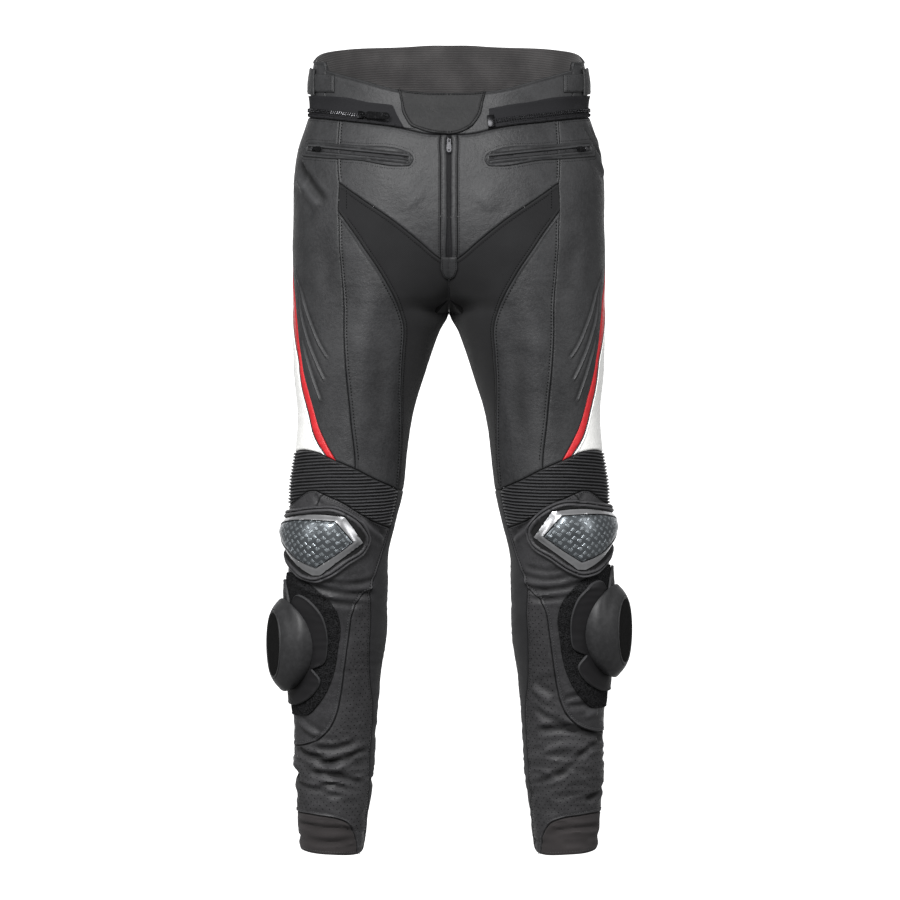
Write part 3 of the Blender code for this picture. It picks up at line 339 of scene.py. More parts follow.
FLY_HALF, FLY_STRIP = 2.5, 10.5      # half the width of the fly's zip, and with its strips
for edge_name, edge_x in (("fly_zip_edge", FLY_HALF), ("fly_strip_edge", FLY_STRIP)):
    seam(edge_name, [(from_middle(edge_x, z), z) for z in (-43, -80, -120, -160, -201)])
seam("ribs_top", [(0.27, -487.6), (0.67, -473.3), (0.93, -460), (1.2, -448), (1.35, -441),
                  (1.55, -437), (1.96, -439.5), (2.5, -440.5), (2.8, -446)])
seam("ribs_bottom", [(0.245, -536.5), (0.53, -529), (0.7, -521), (0.84, -513),
                     (0.97, -504.5), (1.2, -494), (1.34, -488), (1.34, -488), (1.45, -489),
                     (1.55, -494.5), (1.67, -501), (1.96, -507), (2.4, -509), (2.8, -507)])
seam("hip_seam", [(1.45, "waist_seam"), (1.42, -50), (1.38, -102), (1.38, -102),
                  (1.378, -137), (1.378, -137), (1.36, -162), (1.30, -224), (1.22, -274),
                  (1.13, -331), (1.02, -400), (0.915, "ribs_top")])
seam("gusset_front", [(1.378, -137), (1.2, -180), (1.02, -221), (0.8, -245), (0.72, -262),
                      (0.67, -283), (0.59, -317), (0.475, -369), (0.365, -412),
                      (0.3, -453), (0.27, -487.6)])
seam("gusset_back", [(4, -188), (3.75, -204), (3.53, -245), (3.45, -300), (3.47, -380),
                     (3.62, -486)])
seam("side_seam", [(2.1, "waist_seam"), (2.13, -100), (2.13, -100), (2.13, -145),
                   (2.13, -145), (2.13, -232), (2.13, -232), (2.2, -290), (2.35, -360),
                   (2.5, -440.5)])
seam("stripe_front", [(2.13, -145), (1.97, -195), (1.86, -235), (1.77, -278), (1.66, -323),
                      (1.57, -360), (1.41, -407), (1.29, -428), (1.15, -450)])
seam("stripe_back", [(2.13, -232), (1.97, -264), (1.85, -290), (1.72, -323), (1.66, -363),
                     (1.58, -389), (1.45, -420), (1.265, -443.8)])
seam("ribs_back", [(2.8, -446), (2.8, -507)])
seam("inner_front", [(0.27, -487.6), (0.245, -536.5), (0.29, -564), (0.4, -589),
                     (0.5, -615), (0.49, -646), (0.5, -684), (0.41, -730), (0.31, -763),
                     (0.28, -796), (0.3, -830), (0.27, -867), (0.17, -921), (0.15, HEM)])
seam("inner_back", [(3.62, -486), (3.66, -560), (3.6, -640), (3.65, -730), (3.75, -860),
                    (3.82, HEM)])
seam("gusset_hem_front", [(0.27, -487.6), (0, KNEE_SEAM)])
seam("gusset_hem_back", [(3.62, -486), (4, KNEE_SEAM)])
SHIN_TOP = -612.0
seam("shin_seam", [(0.49, SHIN_TOP), (0.68, -626), (0.76, -641), (0.81, -669), (0.85, -705),
                   (0.89, -741), (0.95, -765), (1.05, -783), (1.23, -797), (1.46, -804),
                   (1.96, -807), (2.4, -803), (2.7, -785), (2.82, -750), (2.84, -700),
                   (2.83, -596)], stretch=(SHIN_TOP, {"R": 1.045, "L": 0.955}))
seam("shin_back", [(2.83, -596), (2.8, -507)])
seam("knee_back", [(2.83, -596), (3.2, -600), (3.63, -594)])
seam("cuff_seam", [(0.39, HEM), (0.46, -939), (0.59, -923), (0.73, -913), (0.9, -908),
                   (1.28, -904), (2, -903), (2.8, -904), (3.2, -910), (3.45, -925),
                   (3.55, HEM)])


def spans(line):
    """A laid-out line's pieces, as starts and steps."""
    return line[:-1], np.diff(line, axis=0)


def within(points, box, reach):
    """Which points lie in a box, or within reach of it."""
    return ((points > box[0] - reach) & (points < box[1] + reach)).all(1)


def clearance(flat, starts, steps):
    """Distance of laid-out points to a set of line pieces, and how far along each is."""
    best = np.full(len(flat), 1e9)
    where = np.zeros(len(flat))
    if not len(starts):
        return best, where
    size = np.maximum((steps ** 2).sum(1), 1e-9)
    for first in range(0, len(flat), 700):
        some = flat[first:first + 700]
        near = np.flatnonzero(within(starts, (some.min(0), some.max(0)), 45))
        if not len(near):
            continue
        to = some[:, None] - starts[near]
        u = np.clip((to * steps[near]).sum(2) / size[near], 0, 1)
        gap = to - u[..., None] * steps[near]
        far = (gap ** 2).sum(2)
        k = far.argmin(1)
        rows = np.arange(len(k))
        best[first:first + 700] = np.sqrt(far[rows, k])
        where[first:first + 700] = (near[k] + u[rows, k]) / len(starts)
    return best, where


# Folds in the leather: (legs, height, width, places). A negative height is a trough.
FOLDS = [
    ("R", -2.2, 5, [(1.80, -70), (1.72, -86), (1.70, -104)]),
    ("R", -1.8, 5, [(1.78, -72), (1.60, -101), (1.47, -126)]),
    ("R", 2.6, 8, [(1.86, -88), (1.74, -98), (1.68, -112)]),
    ("L", -2.0, 5, [(1.70, -20), (1.77, -42), (1.90, -64)]),
    ("L", -1.5, 5, [(1.80, -24), (1.86, -40), (2.0, -54)]),
    ("R", 2.2, 7, [(1.74, -86), (1.64, -112), (1.52, -132)]),
    ("L", 1.6, 7, [(1.78, -60), (1.86, -74), (1.95, -84)]),
    ("RL", 0.8, 14, [(1.0, -98), (0.84, -118), (0.62, -132)]),
    ("RL", -1.2, 11, [(3.3, -30), (2.9, -52), (2.5, -60)]),
    ("RL", 1.4, 12, [(3.5, -62), (3.0, -84), (2.5, -92)]),
    ("RL", -1.6, 10, [(3.72, -215), (3.3, -232), (2.7, -226)]),
    ("RL", 1.5, 10, [(3.6, -236), (3.1, -256), (2.6, -250)]),
    ("RL", -1.4, 9, [(3.4, -262), (2.9, -276), (2.4, -266)]),
    ("RL", 1.0, 14, [(1.25, -170), (1.12, -240), (1.0, -330)]),
    ("RL", -1.0, 14, [(1.55, -160), (1.42, -200), (1.34, -250)]),
    ("RL", -1.2, 12, [(0.85, -300), (0.78, -360), (0.72, -430)]),
    ("RL", 1.0, 11, [(3.2, -330), (2.9, -390), (2.8, -440)]),
]
RIB_LINES = (      # the padded lines of the side panel
    [(1.83, -200), (1.80, -210), (1.67, -243), (1.60, -263), (1.50, -286), (1.38, -311),
     (1.30, -324)],
    [(1.79, -215), (1.755, -227), (1.69, -261), (1.56, -298), (1.44, -326), (1.32, -352)],
    [(1.70, -280), (1.66, -294), (1.53, -330), (1.45, -355), (1.375, -377)],
)
STILL = [          # the metal parts keep the leather round them in place: place, reach
    ("RL", (0.0, -60), 40), ("R", (1.25, -18), 30), ("L", (1.05, -25), 26),
    ("RL", (1.55, -58), 26), ("RL", (1.80, -676), 62), ("RL", (1.4, -545), 44),
]


FOLD_DEPTH = 1.35    # times the height that a fold is given with


def ease(u):
    u = np.clip(u, 0, 1)
    return u * u * (3 - 2 * u)


def skin(side, places):
    """How far the folds lift or sink the surface at each place."""
    flat = laid_flat(places)
    points = form(places[:, 0], places[:, 1]) * (1 if side == "L" else -1, 1, 1)
    lift = np.zeros(len(flat))
    for legs, height, width, line in FOLDS:
        if side not in legs:
            continue
        path = laid_flat(drawn(line, step=6))
        near = within(flat, (path.min(0), path.max(0)), 3.2 * width)
        far, along = clearance(flat[near], *spans(path))
        u = far / width
        shape = np.exp(-u * u) - 0.33 * np.exp(-((u - 1.75) / 0.75) ** 2)
        lift[near] += FOLD_DEPTH * height * shape * ease(4 * along * (1 - along) * 1.6)
    low = np.clip((-560 - places[:, 1]) / 120, 0, 1)
    gathers = 0.3 * low + 0.12 + sum(
        much * np.exp(-((places[:, 1] - height) / reach) ** 2)
        for much, height, reach in ((1.1, -848, 42), (0.3, -612, 22), (0.8, -932, 20)))
    for k, p in enumerate(points):
        q = Vector(p)
        ridge = noise.noise(Vector((q.x / 40, q.y / 40, q.z / 10.5)) + Vector((3, 1, 9)))
        lift[k] += ((0.9 + 0.5 * low[k]) * noise.noise(q / 62)
                    + (0.3 + 0.3 * low[k]) * noise.noise(q / 24 + Vector((7, 3, 1)))
                    + gathers[k] * (1.1 - 3.2 * abs(ridge)))
    for legs, place, reach in STILL:
        if side in legs:
            far = np.linalg.norm(flat - laid_flat([place]), axis=1)
            lift *= np.clip(far / reach - 0.35, 0, 1) ** 0.7
    waist = np.clip((-places[:, 1] + 20) / 70, 0.25, 1)
    return lift * waist


Net = namedtuple("Net", "side places faces")


def cut(side, seeds, bounds, pitch, beside=(), warp=laid_flat, unwarp=taken_up):
    """The net of triangles between the bounds, reached from the seeds."""
    paths = [warp(LINES[side][name]) for name in bounds]
    corners, edges = [], []
    for path in paths:
        edges += [(len(corners) + k, len(corners) + k + 1) for k in range(len(path) - 1)]
        corners += list(path)
    starts, steps = (np.concatenate(parts) for parts in zip(*map(spans, paths)))
    seeds = warp(np.array(seeds, float))
    extra = []
    for final in (False, True):
        points = [Vector(p) for p in corners + extra]
        found, lines, faces, _, sources, _ = delaunay_2d_cdt(points, edges, [], 0, 0.06)
        flat = np.array([tuple(p) for p in found])
        walls = {frozenset(line) for line, source in zip(lines, sources) if source}
        tri = np.array(faces)
        corner = flat[tri]
        inside = np.ones((len(seeds), len(tri)), bool)
        for k in range(3):
            run = corner[:, (k + 1) % 3] - corner[:, k]
            to = seeds[:, None] - corner[None, :, k]
            inside &= run[:, 0] * to[..., 1] - run[:, 1] * to[..., 0] >= 0
        reached = {int(np.flatnonzero(row)[0]) for row in inside}
        sides_of = {}
        for number, face in enumerate(faces):
            for a, b in zip(face, (*face[1:], face[0])):
                edge = frozenset((a, b))
                if edge not in walls:
                    sides_of.setdefault(edge, []).append(number)
        links = [[] for _ in faces]
        for pair in sides_of.values():
            if len(pair) == 2:
                links[pair[0]].append(pair[1])
                links[pair[1]].append(pair[0])
        todo = list(reached)
        while todo:
            for other in links[todo.pop()]:
                if other not in reached:
                    reached.add(other)
                    todo.append(other)
        tri = tri[sorted(reached)]
        if final:
            for edge, pair in sides_of.items():
                if len(pair) == 1 and pair[0] in reached:
                    a, b = (flat[v] for v in edge)
                    beyond = (b - a)[0] * (flat - a)[:, 1] - (b - a)[1] * (flat - a)[:, 0]
                    if beyond.min() > -1e-6 or beyond.max() < 1e-6:
                        raise ValueError(f"the lines {bounds} leave a gap")
            break
        used = flat[np.unique(tri)]
        box = used.min(0), used.max(0)
        near = within(starts, box, 14)
        starts, steps = starts[near], steps[near]
        rows = []
        length = np.maximum(np.linalg.norm(steps, axis=1, keepdims=True), 1e-6)
        across = np.stack([-steps[:, 1], steps[:, 0]], -1) / length
        for offset in beside:
            for hand in (-1, 1):
                row = starts + steps / 2 + across * offset * hand
                rows.append(row[clearance(row, starts, steps)[0] > offset * 0.93])
        wide, high = box[1] - box[0]
        grid = []
        lift = pitch * 0.866
        for r in range(int(high / lift) + 2):
            xs = np.arange(box[0][0] + pitch * (0.5 if r % 2 else 0), box[1][0] + pitch, pitch)
            grid.append(np.stack([xs, np.full(len(xs), box[0][1] + r * lift)], -1))
        grid = np.concatenate(grid)
        far = clearance(grid, starts, steps)[0]
        grid = grid[far > max(beside, default=0) + pitch * 0.55]
        extra = [tuple(p) for p in np.concatenate(rows + [grid])]
    used = np.unique(tri)
    slot = np.full(len(flat), -1)
    slot[used] = np.arange(len(used))
    return Net(side, unwarp(flat[used]), slot[tri])


def joined(nets):
    """The nets of one or both halves as one: points, normals, places, sides, faces."""
    index, rows, faces = {}, [], []
    for net in nets:
        hand = 1 if net.side == "L" else -1
        points = form(net.places[:, 0], net.places[:, 1]) * (hand, 1, 1)
        normals = form_normal(net.places[:, 0], net.places[:, 1]) * (hand, 1, 1)
        middle = np.isclose(points[:, 0], 0, atol=1e-3)
        normals[middle, 0] = 0
        lift = skin(net.side, net.places)
        numbers = []
        for k, point in enumerate(points):
            key = tuple(np.round(point * 50).astype(int)) if middle[k] else (len(rows), net.side)
            if key not in index:
                index[key] = len(rows)
                rows.append((point, normals[k], net.places[k], net.side, lift[k]))
            numbers.append(index[key])
        tri = np.array(numbers)[net.faces]
        faces.append(tri if hand > 0 else tri[:, ::-1])
    points, normals, places, sides, lift = zip(*rows)
    normals = np.array(normals)
    normals /= np.linalg.norm(normals, axis=1, keepdims=True)
    return (np.array(points), normals, np.array(places), np.array(sides), np.array(lift),
            np.concatenate(faces))


def rim_of(faces):
    """The directed edges that only one triangle has."""
    pairs = np.concatenate([faces[:, [0, 1]], faces[:, [1, 2]], faces[:, [2, 0]]])
    size = int(pairs.max()) + 1
    there = pairs[:, 0] * size + pairs[:, 1]
    return pairs[~np.isin(there, pairs[:, 1] * size + pairs[:, 0])]


def drawn_in(points, normals, rim, gap):
    """How far each rim point moves in, so that the seam keeps its gap."""
    along = points[rim[:, 1]] - points[rim[:, 0]]
    total = np.zeros_like(points)
    one = np.zeros_like(points)
    for end in (0, 1):
        inward = np.cross(normals[rim[:, end]], along)
        inward /= np.maximum(np.linalg.norm(inward, axis=1, keepdims=True), 1e-9)
        np.add.at(total, rim[:, end], inward)
        one[rim[:, end]] = inward
    size = np.linalg.norm(total, axis=1, keepdims=True)
    middle = total / np.maximum(size, 1e-6)
    return middle * gap / 2 / np.maximum((middle * one).sum(1, keepdims=True), 0.4)


def rolled(edge, lip, width):
    """The height of a folded edge, at a distance from it."""
    return -lip * (1 - np.clip(edge / width, 0, 1)) ** 2


def smooth_object(name, mesh, sharp=None):
    """A smooth object, with crisp edges where it bends by more than sharp degrees."""
    mesh.polygons.foreach_set("use_smooth", [True] * len(mesh.polygons))
    if sharp:
        mesh.set_sharp_from_angle(angle=radians(sharp))
    made = bpy.data.objects.new(name, mesh)
    scene.collection.objects.link(made)
    return made


Wall = namedtuple("Wall", "side places edge lines")
APART = 5000.0       # keeps the two legs' nets from touching when they are laid flat
SLACK = 3.5          # how much deeper a panel's coarse inner face lies, away from its rim


def wall(name, seeds, bounds, top=0.0, under=-LEATHER, pitch=4.2, beside=(0.8, 2.0, 3.1, 4.2, 5.3),
         sides=None, lip=1.15, roll=2.2, gap=GAP, stitched=(), warp=laid_flat, unwarp=taken_up,
         hollow=16.0):
    """A closed shell over one region of the cut. top is a height, or a function of a Wall
    that gives heights and painted shading: painted shade where it is positive, painted
    highlight where it is negative. pitch and hollow are the sizes of the outer and inner
    net, beside the rows of points next to its lines, lip and roll the depth and width of its
    rounded edge, and stitched the seams that it is topstitched at, with painted shade and
    highlight beside them."""
    sides = sides or name[-1]
    pitch *= QUICK
    fine = [cut(side, seeds, bounds, pitch, beside, warp, unwarp) for side in sides]
    rough = [cut(side, seeds, bounds, hollow, (), warp, unwarp) for side in sides]
    points, normals, places, hands, lift, faces = joined(fine)
    rim = rim_of(faces)
    edge = np.zeros(len(points))
    raised, painted_shading = np.zeros(len(points)), np.zeros(len(points))
    for side in sides:
        mine = hands == side
        flat, ends = laid_flat(places[mine]), laid_flat(places)
        near, far = ends[rim[hands[rim[:, 0]] == side].T]
        edge[mine] = clearance(flat, near, far - near)[0]
        facts = Wall(side, places[mine], edge[mine], LINES[side])
        raised[mine], painted_shading[mine] = top(facts) if callable(top) else (top, 0)
        # Painted shade where the folds sink the surface, painted highlight where they lift it.
        painted_shading[mine] -= np.clip(lift[mine] / 4.4, -0.8, 0.6)
        for line in stitched:
            far = clearance(flat, *spans(laid_flat(LINES[side][line])))[0]
            # A ridge beside the seam with painted highlight, and the stitch groove with painted
            # shade.
            ridge = np.exp(-((far - 2.0) / 1.3) ** 2)
            groove = np.exp(-((far - 4.2) / 0.75) ** 2)
            raised[mine] += 0.8 * ridge - 0.3 * groove
            painted_shading[mine] += 0.35 * groove - 0.35 * ridge
    shift = drawn_in(points, normals, rim, gap)
    outer = points + shift + normals * (lift + raised + rolled(edge, lip, roll))[:, None]
    below, below_normals, below_places, below_hands, below_lift, below_faces = joined(rough)
    low_rim = rim_of(below_faces)
    at = drawn_in(below, below_normals, low_rim, gap)
    deep = np.full(len(below), -SLACK if under == -LEATHER else 0.0)
    deep[np.unique(low_rim)] = 0
    inner = below + at + below_normals * (below_lift + under + deep)[:, None]
    ends = np.unique(rim)
    apart = laid_flat(places) + np.outer(hands == "L", (APART, 0))
    below_apart = laid_flat(below_places) + np.outer(below_hands == "L", (APART, 0))
    nearest = {v: ends[int(((apart[ends] - below_apart[v]) ** 2).sum(1).argmin())]
               for v in np.unique(low_rim)}
    count = len(outer)
    skins = faces.tolist() + (below_faces[:, ::-1] + count).tolist()
    for a, b in low_rim:
        skins.append((nearest[b], nearest[a], a + count, b + count))
    mesh = bpy.data.meshes.new("worn_" + name)
    mesh.from_pydata([tuple(v) for v in np.concatenate([outer, inner]) * MM], [], skins)
    mesh.update()
    made = smooth_object(mesh.name, mesh, 48)
    for label, values in (("edge", edge), ("painted_shading", painted_shading)):
        mesh.attributes.new(label, "FLOAT", "POINT").data.foreach_set(
            "value", np.concatenate([values, np.zeros(len(inner))]))
    laid = mesh.attributes.new("laid", "FLOAT_VECTOR", "POINT")
    spread = np.concatenate([laid_flat(places), below[:, :2]]) * MM
    laid.data.foreach_set("vector", np.column_stack([spread, 0 * spread[:, 0]]).ravel())
    made["size"] = [float(v) for v in cut_size(points, places, hands, faces, rim)]
    return made


def cut_size(points, places, hands, faces, rim):
    """Width, length and area of the flat cut, in metres."""
    flat = laid_flat(places)
    if places[:, 0].min() < 0.5 and places[:, 0].max() > 3.5 and len(set(hands)) == 1:
        if not ((places[:, 0] > 1.6) & (places[:, 0] < 2.4)).any():    # across the inseam
            seam_side = laid_flat(np.column_stack([4.0 * (places[:, 0] > 2), places[:, 1]]))
            flat = laid_flat(places) - seam_side * (1, 0)
    if set(hands) == {"R", "L"}:       # one piece across the middle of the back or front
        far = 4 if places[:, 0].mean() > 2 else 0
        edge = laid_flat(np.column_stack([np.full(len(flat), far), flat[:, 1]]))[:, 0]
        flat[:, 0] = np.where(hands == "L", flat[:, 0] - edge, edge - flat[:, 0])
    a, b, c = (points[faces[:, k]] for k in range(3))
    area = np.linalg.norm(np.cross(b - a, c - a), axis=1).sum() / 2
    best = None
    for angle in np.radians(np.arange(0, 90, 1)):
        way = np.array([[cos(angle), -sin(angle)], [sin(angle), cos(angle)]])
        size = np.ptp(flat @ way, axis=0)
        if best is None or size.prod() < best.prod():
            best = size
    short, long = sorted(best)
    if area < 0.45 * short * long:      # a narrow strip, cut straight and sewn to a curve
        long = np.linalg.norm(points[rim[:, 1]] - points[rim[:, 0]], axis=1).sum() / 2
        short = area / long
    scale = max(1.0, (area / (short * long)) ** 0.5)
    short, long = max(short * scale, 10.0), max(long * scale, 10.0)
    return short * MM, long * MM, area * MM * MM


def hard(look, slot, name, seeds, bounds, **shape):
    """A piece that stands for its CAD node, with its finish."""
    made = wall(name, seeds, bounds, **shape)
    made.data.materials.append(look.material)
    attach(made, "trousers")
    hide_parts(name)
    return made


def sewn(look, slot, name, seeds, bounds, **shape):
    """The same, as a piece of leather or cloth that was cut to a size."""
    made = hard(look, slot, name, seeds, bounds, **shape)


def leather_panel(name, seeds, bounds, **shape):
    sewn(black_leather, "black_leather", name, seeds, bounds, **shape)


class Value:
    """A shader socket that sums and products can be written with."""

    def __init__(self, look, socket):
        self.look, self.socket = look, socket

    def sum_of(self, operation, first, second):
        return self.look.node("Math", {"operation": operation}, {0: first, 1: second})

    def __add__(self, other): return self.sum_of("ADD", self, other)
    def __sub__(self, other): return self.sum_of("SUBTRACT", self, other)
    def __rsub__(self, other): return self.sum_of("SUBTRACT", other, self)
    def __mul__(self, other): return self.sum_of("MULTIPLY", self, other)
    __radd__, __rmul__ = __add__, __mul__

    def between(self, low, high, first=0.0, last=1.0):
        """Runs from first to last while this runs from low to high."""
        return self.look.node("MapRange", {"interpolation_type": "SMOOTHSTEP"},
                              {"Value": self, "From Min": low, "From Max": high,
                               "To Min": first, "To Max": last})


class Finish:
    """A material whose nodes are written as expressions."""

    def __init__(self, name, **settings):
        self.material = bpy.data.materials.new(name)
        self.material.use_nodes = True
        self.tree = self.material.node_tree
        self.shader = self.tree.nodes["Principled BSDF"]
        self.finish(**settings)

    def put(self, socket, value):
        if isinstance(value, Value):
            self.tree.links.new(value.socket, socket)
        elif isinstance(value, tuple) and socket.type == "RGBA":
            socket.default_value = (*value[:3], 1)
        else:
            socket.default_value = value

    def node(self, kind, settings=None, inputs=None, output=0):
        made = self.tree.nodes.new("ShaderNode" + kind)
        for name, value in (settings or {}).items():
            setattr(made, name, value)
        for name, value in (inputs or {}).items():
            self.put(made.inputs[name], value)
        return Value(self, made.outputs[output])

    def at(self):
        return self.node("TexCoord", output="Object")

    def read(self, name, output="Fac"):
        return self.node("Attribute", {"attribute_name": name}, output=output)

    def noise(self, scale, detail=2.0, roughness=0.5):
        return self.node("TexNoise", {}, {"Vector": self.at(), "Scale": scale,
                                          "Detail": detail, "Roughness": roughness})

    def cells(self, scale, feature="F1"):
        return self.node("TexVoronoi", {"feature": feature},
                         {"Vector": self.at(), "Scale": scale}, "Distance")

    def bands(self, way, scale, at=None, **more):
        """Soft stripes; way is the direction that they follow each other in."""
        settings = {"bands_direction": way}
        return self.node("TexWave", settings, {"Vector": at or self.read("laid", "Vector"),
                                               "Scale": scale, **more}, "Fac")

    def blend(self, share, first, second):
        return self.node("Mix", {"data_type": "RGBA"}, {0: share, 6: first, 7: second}, 2)

    def bump(self, height, distance, strength=1.0, over=None):
        inputs = {"Height": height, "Distance": distance * MM, "Strength": strength}
        if over:
            inputs["Normal"] = over
        return self.node("Bump", {}, inputs)

    def finish(self, **values):
        for socket, value in values.items():
            self.put(self.shader.inputs[socket.replace("_", " ")], value)
        return self


def leather(name, dark, light, roughness, grain=1.0, seam_shade=0.35):
    """Grained, lightly waxed hide: fine pebbles and soft wrinkles, with painted shade in its
    folds and grooves and along its seams, and painted highlight on its ridges."""
    look = Finish(name, IOR=1.45, Specular_IOR_Level=0.32)
    pebbles = look.cells(880, "SMOOTH_F1")
    pores = look.noise(2000, 2)
    wrinkles = look.noise(230, 3, 0.65)
    patches = look.noise(11, 3, 0.6)
    broad = look.noise(46, 4, 0.6)
    edge, painted_shading = look.read("edge"), look.read("painted_shading")
    share = (patches * 0.5 + broad * 0.45 + wrinkles * 0.5 + pebbles * 0.35).between(0.6, 1.1)
    colour = look.blend(share, dark, light)
    # Painted highlight on ridges and crests, painted shade in folds, grooves and channels.
    colour = look.blend(painted_shading.between(-1.0, 0.0, 0.55, 0.0), colour, tuple(v * 1.9 for v in light))
    colour = look.blend(painted_shading.between(0.0, 1.1, 0.0, 0.9), colour, tuple(v * 0.1 for v in dark))
    # Painted shade along the seams; the larger seam_shade, the less of it.
    shaded = look.blend(edge.between(0.0, 1.1, 1.0, 0.0) * (1 - seam_shade), colour,
                        tuple(v * 0.12 for v in dark))
    rough = (broad * 0.2 + patches * 0.14 + (roughness - 0.17)) + pebbles * 0.08
    rough = rough + painted_shading.between(0.1, 0.9, 0.0, 0.4)
    fine = look.bump(pebbles * 0.7 + pores * 0.3, 0.22 * grain, 0.8)
    return look.finish(Base_Color=shaded, Roughness=rough,
                       Normal=look.bump(wrinkles, 1.0 * grain, 0.6, fine))


black_leather = leather("black leather", (0.0165, 0.0167, 0.0177), (0.0335, 0.0338, 0.0353), 0.48)
for lines in LINES.values():
    for number, line in enumerate(RIB_LINES):
        lines[f"padded_{number}"] = drawn(line)


def far_from(facts, name):
    return clearance(laid_flat(facts.places), *spans(laid_flat(facts.lines[name])))[0]


def padded_lines(facts):
    """The three moulded lines: narrow welts, each with a softly sunk lower side; painted
    highlight on the welts and painted shade on the sunk side.
    """
    flat = laid_flat(facts.places)
    height, painted_shading = np.zeros(len(flat)), np.zeros(len(flat))
    for number in range(len(RIB_LINES)):
        far, along = clearance(flat, *spans(laid_flat(facts.lines[f"padded_{number}"])))
        ends = np.clip(along * 2.6, 0, 1) * np.clip((1 - along) * 26, 0, 1)
        welt = ends * np.exp(-(far / 1.0) ** 2)
        sunk = ends * np.exp(-((far - 3.0) / 1.7) ** 2)
        height += 1.5 * welt - 0.9 * sunk + 0.7 * ends * np.exp(-(far / 9) ** 2)
        painted_shading += 0.4 * sunk - 1.1 * welt * np.clip(along * 1.6, 0, 1)
    return height, painted_shading


for side in "RL":
    leather_panel(f"front_hip_{side}", [(0.9, -100)],
                  ("waist_seam", "fly_strip_edge", "gusset_top", "hip_seam", "centre_front"),
                  stitched=("hip_seam", "waist_seam"), pitch=3.8)
    leather_panel(f"side_thigh_{side}", [(1.7, -120)],
                  ("waist_seam", "hip_seam", "side_seam", "stripe_front", "ribs_top",
                   "gusset_front", "gusset_top", "padded_0", "padded_1", "padded_2"),
                  pitch=3.2, top=padded_lines)
    leather_panel(f"front_thigh_{side}", [(0.95, -300)],
                  ("hip_seam", "gusset_front", "ribs_top", "gusset_top"),
                  stitched=("hip_seam", "gusset_front"), pitch=4.0)
    leather_panel(f"back_thigh_{side}", [(3, -300)],
                  ("yoke_seam", "side_seam", "ribs_top", "ribs_back", "shin_back",
                   "knee_back", "gusset_back", "inner_back", "centre_back",
                   "gusset_hem_back"), stitched=("yoke_seam",), pitch=5.5)
leather_panel("back_yoke", [(3, -50)], ("waist_seam", "yoke_seam", "side_seam", "centre_back"),
              stitched=("waist_seam",), sides="RL", pitch=5.0)


def lifted(side, places, height=0.0):
    """Points over the surface at places of one leg, and the outward normals."""
    places = np.asarray(places, float)
    hand = (1 if side == "L" else -1, 1, 1)
    normals = form_normal(places[:, 0], places[:, 1]) * hand
    points = form(places[:, 0], places[:, 1]) * hand
    return points + normals * (skin(side, places) + height)[:, None], normals


class Growth:
    """A tree of geometry nodes with named inputs."""

    def __init__(self, name, inputs):
        self.tree = bpy.data.node_groups.new(name, "GeometryNodeTree")
        face = self.tree.interface
        face.new_socket("Geometry", in_out="INPUT", socket_type="NodeSocketGeometry")
        for label, kind in inputs:
            face.new_socket(label, in_out="INPUT", socket_type="NodeSocket" + kind)
        face.new_socket("Geometry", in_out="OUTPUT", socket_type="NodeSocketGeometry")
        self.start = self.tree.nodes.new("NodeGroupInput")
        self.end = self.tree.nodes.new("NodeGroupOutput")

    def node(self, kind, settings=None, inputs=None, output=0):
        made = self.tree.nodes.new(kind)
        for name, value in (settings or {}).items():
            setattr(made, name, value)
        for name, value in (inputs or {}).items():
            if isinstance(value, bpy.types.NodeSocket):
                self.tree.links.new(value, made.inputs[name])
            else:
                made.inputs[name].default_value = value
        return made.outputs[output]

    def given(self, name):
        return self.start.outputs[name]

    def close(self, geometry):
        """Ends in real faces with the given finish."""
        real = self.node("GeometryNodeRealizeInstances", {}, {"Geometry": geometry})
        smooth = self.node("GeometryNodeSetShadeSmooth", {}, {"Geometry": real})
        done = self.node("GeometryNodeSetMaterial", {}, {"Geometry": smooth,
                                                        "Material": self.given("Finish")})
        self.tree.links.new(done, self.end.inputs["Geometry"])
        return self

    def on(self, name, mesh, **values):
        """The plain mesh that the tree makes of a mesh of paths or points."""
        base = bpy.data.objects.new(name + "_paths", mesh)
        scene.collection.objects.link(base)
        grown = base.modifiers.new("growth", "NODES")
        grown.node_group = self.tree
        for item in self.tree.interface.items_tree:
            if item.in_out == "INPUT" and item.name in values:
                grown[item.identifier] = values[item.name]
        result = bpy.data.meshes.new_from_object(
            base.evaluated_get(bpy.context.evaluated_depsgraph_get()))
        bpy.data.objects.remove(base)
        made = bpy.data.objects.new(name, result)
        result.name = name
        scene.collection.objects.link(made)
        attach(made, "trousers")
        return made

    def spread(self, points, one, turn):
        """Ends in one piece on each of the points, turned."""
        return self.close(self.node("GeometryNodeInstanceOnPoints", {},
                                    {"Points": points, "Instance": one, "Rotation": turn}))

    def outwards(self):
        return self.node("GeometryNodeInputNamedAttribute", {"data_type": "FLOAT_VECTOR"},
                         {"Name": "out"})


